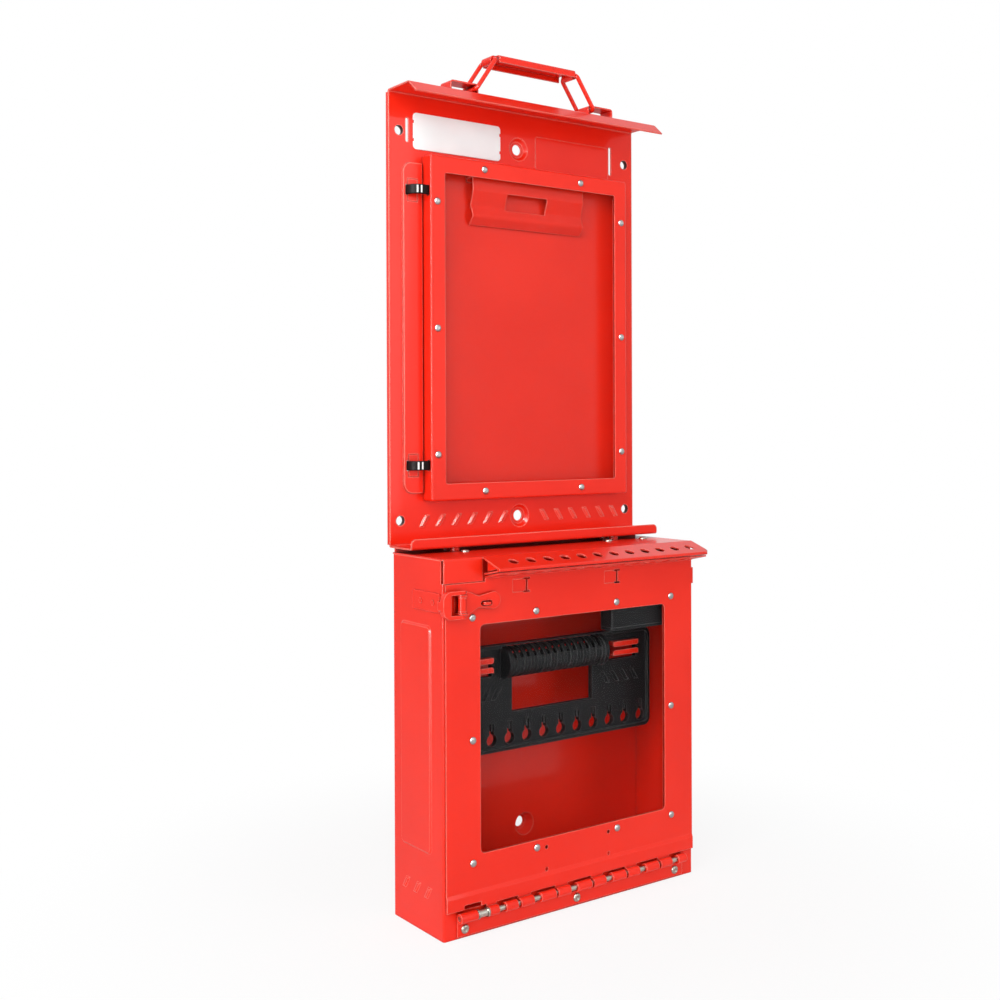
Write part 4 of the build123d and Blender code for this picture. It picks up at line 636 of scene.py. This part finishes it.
def pale_floor():
    half = 6.0
    low = -0.0005
    mesh = bpy.data.meshes.new("floor")
    corners = [(-half, -half, low), (half, -half, low), (half, half, low), (-half, half, low)]
    mesh.from_pydata(corners, [], [(0, 1, 2, 3)])
    floor = bpy.data.objects.new("floor", mesh)
    bpy.context.scene.collection.objects.link(floor)
    paint = Finish("pale_floor")
    where = paint.place()
    away = paint.node("ShaderNodeVectorMath", {"operation": "LENGTH"}, out="Value", Vector=where)
    paint.set(Base_Color=(0.93, 0.93, 0.93, 1.0), Roughness=0.7)
    glow = paint.tree.nodes.new("ShaderNodeEmission")
    glow.inputs["Color"].default_value = (1, 1, 1, 1)
    seen = paint.node("ShaderNodeLightPath", out="Is Camera Ray")
    mixed = paint.tree.nodes.new("ShaderNodeMixShader")
    feed(paint.tree, mixed.inputs[0], (away.ramp(0.2, 0.6) * 0.15 + 0.85) * seen)
    paint.tree.links.new(paint.shader.outputs[0], mixed.inputs[1])
    paint.tree.links.new(glow.outputs[0], mixed.inputs[2])
    paint.tree.links.new(mixed.outputs[0], paint.output.inputs[0])
    mesh.materials.append(paint.material)
    return floor


floor = pale_floor()
print("floor", tuple(round(v, 2) for v in floor.dimensions))

# %% [markdown]
# Soft light comes from large panels: one high on the left, one beside the camera, a fill from
# the right and an upright one far to the left. Two more only shine: they are hidden from
# diffuse light. No flat face mirrors them towards the camera, but every upright fold mirrors
# fold_shine as a thin pale line, and the slopes of the slanted bars mirror bar_shine.

# %% Light
LAMP_AIM = Vector((0.0, 0.0, 0.42))


def soft_panel(name, x, y, z, width, height, power):
    lamp = bpy.data.lights.new(name, "AREA")
    lamp.shape = "RECTANGLE"
    lamp.size = width
    lamp.size_y = height
    lamp.energy = power
    holder = bpy.data.objects.new(name, lamp)
    holder.location = (x, y, z)
    look = LAMP_AIM - Vector((x, y, z))
    holder.rotation_euler = look.to_track_quat("-Z", "Y").to_euler()
    bpy.context.scene.collection.objects.link(holder)
    return holder


soft_panel("high_left", -1.25, -1.00, 1.70, 1.0, 1.0, 17.0)
soft_panel("beside_camera", -1.35, -1.75, 0.85, 0.6, 1.2, 9.0)
soft_panel("fill_light", 0.8, -2.2, 0.9, 0.8, 1.4, 9.0)
soft_panel("far_left", -1.9, -0.55, 0.55, 0.3, 1.8, 12.0)
for shine in (soft_panel("fold_shine", -1.9, -0.60, 0.50, 0.3, 1.8, 50.0),
              soft_panel("bar_shine", -1.12, -0.82, 1.60, 0.9, 0.9, 55.0)):
    shine.visible_diffuse = False
print("lamps", len(bpy.data.lights))

# %% [markdown]
# The world is white where the camera and the reflections look, and gentler where it lights the
# colours, so that the background is clean and the red keeps its depth.

# %% World
world = bpy.data.worlds.new("studio")
bpy.context.scene.world = world
world.use_nodes = True
air = world.node_tree
sky = air.nodes["Background"]
white = air.nodes.new("ShaderNodeBackground")
white.inputs["Color"].default_value = (1, 1, 1, 1)
sky.inputs["Color"].default_value = (1, 1, 1, 1)
sky.inputs["Strength"].default_value = 0.42
path = air.nodes.new("ShaderNodeLightPath")
seen = Wire(air, path.outputs["Is Camera Ray"])
for kind in ("Is Glossy Ray", "Is Transmission Ray"):
    seen = seen.math("MAXIMUM", Wire(air, path.outputs[kind]))
mixed = air.nodes.new("ShaderNodeMixShader")
feed(air, mixed.inputs[0], seen)
air.links.new(sky.outputs[0], mixed.inputs[1])
air.links.new(white.outputs[0], mixed.inputs[2])
air.links.new(mixed.outputs[0], air.nodes["World Output"].inputs[0])
bpy.context.scene.view_settings.view_transform = "Standard"
print("world", world.name)

# %% [markdown]
# The photographer stood to the left and a little above half height. Straight edges in the
# picture fix the camera: where it is, which way it turns, and how long its lens is.

# %% Camera
EYE = Vector((-0.8075, -1.02189, 0.47959))
YAW, PITCH, ROLL = (math.radians(a) for a in (35.8485, -0.3057, -0.2055))
ahead = Vector((math.sin(YAW) * math.cos(PITCH), math.cos(YAW) * math.cos(PITCH), math.sin(PITCH)))
level = Vector((math.cos(YAW), -math.sin(YAW), 0.0))
upward = level.cross(ahead)
right = level * math.cos(ROLL) + upward * math.sin(ROLL)
top = upward * math.cos(ROLL) - level * math.sin(ROLL)
lens = bpy.data.cameras.new("camera")
lens.sensor_width = 36.0
lens.lens = 45.738
lens.shift_x = 0.00109
lens.shift_y = -0.06593
lens.clip_start = 0.05
camera = bpy.data.objects.new("camera", lens)
turn = Matrix((right, top, -ahead)).transposed().to_4x4()
camera.matrix_world = Matrix.Translation(EYE) @ turn
bpy.context.scene.collection.objects.link(camera)
bpy.context.scene.camera = camera
print("camera at", tuple(round(v, 3) for v in camera.location))

# %% [markdown]
# Last, a line is printed to mark the end of the scene.

# %% End


print("scene ready")
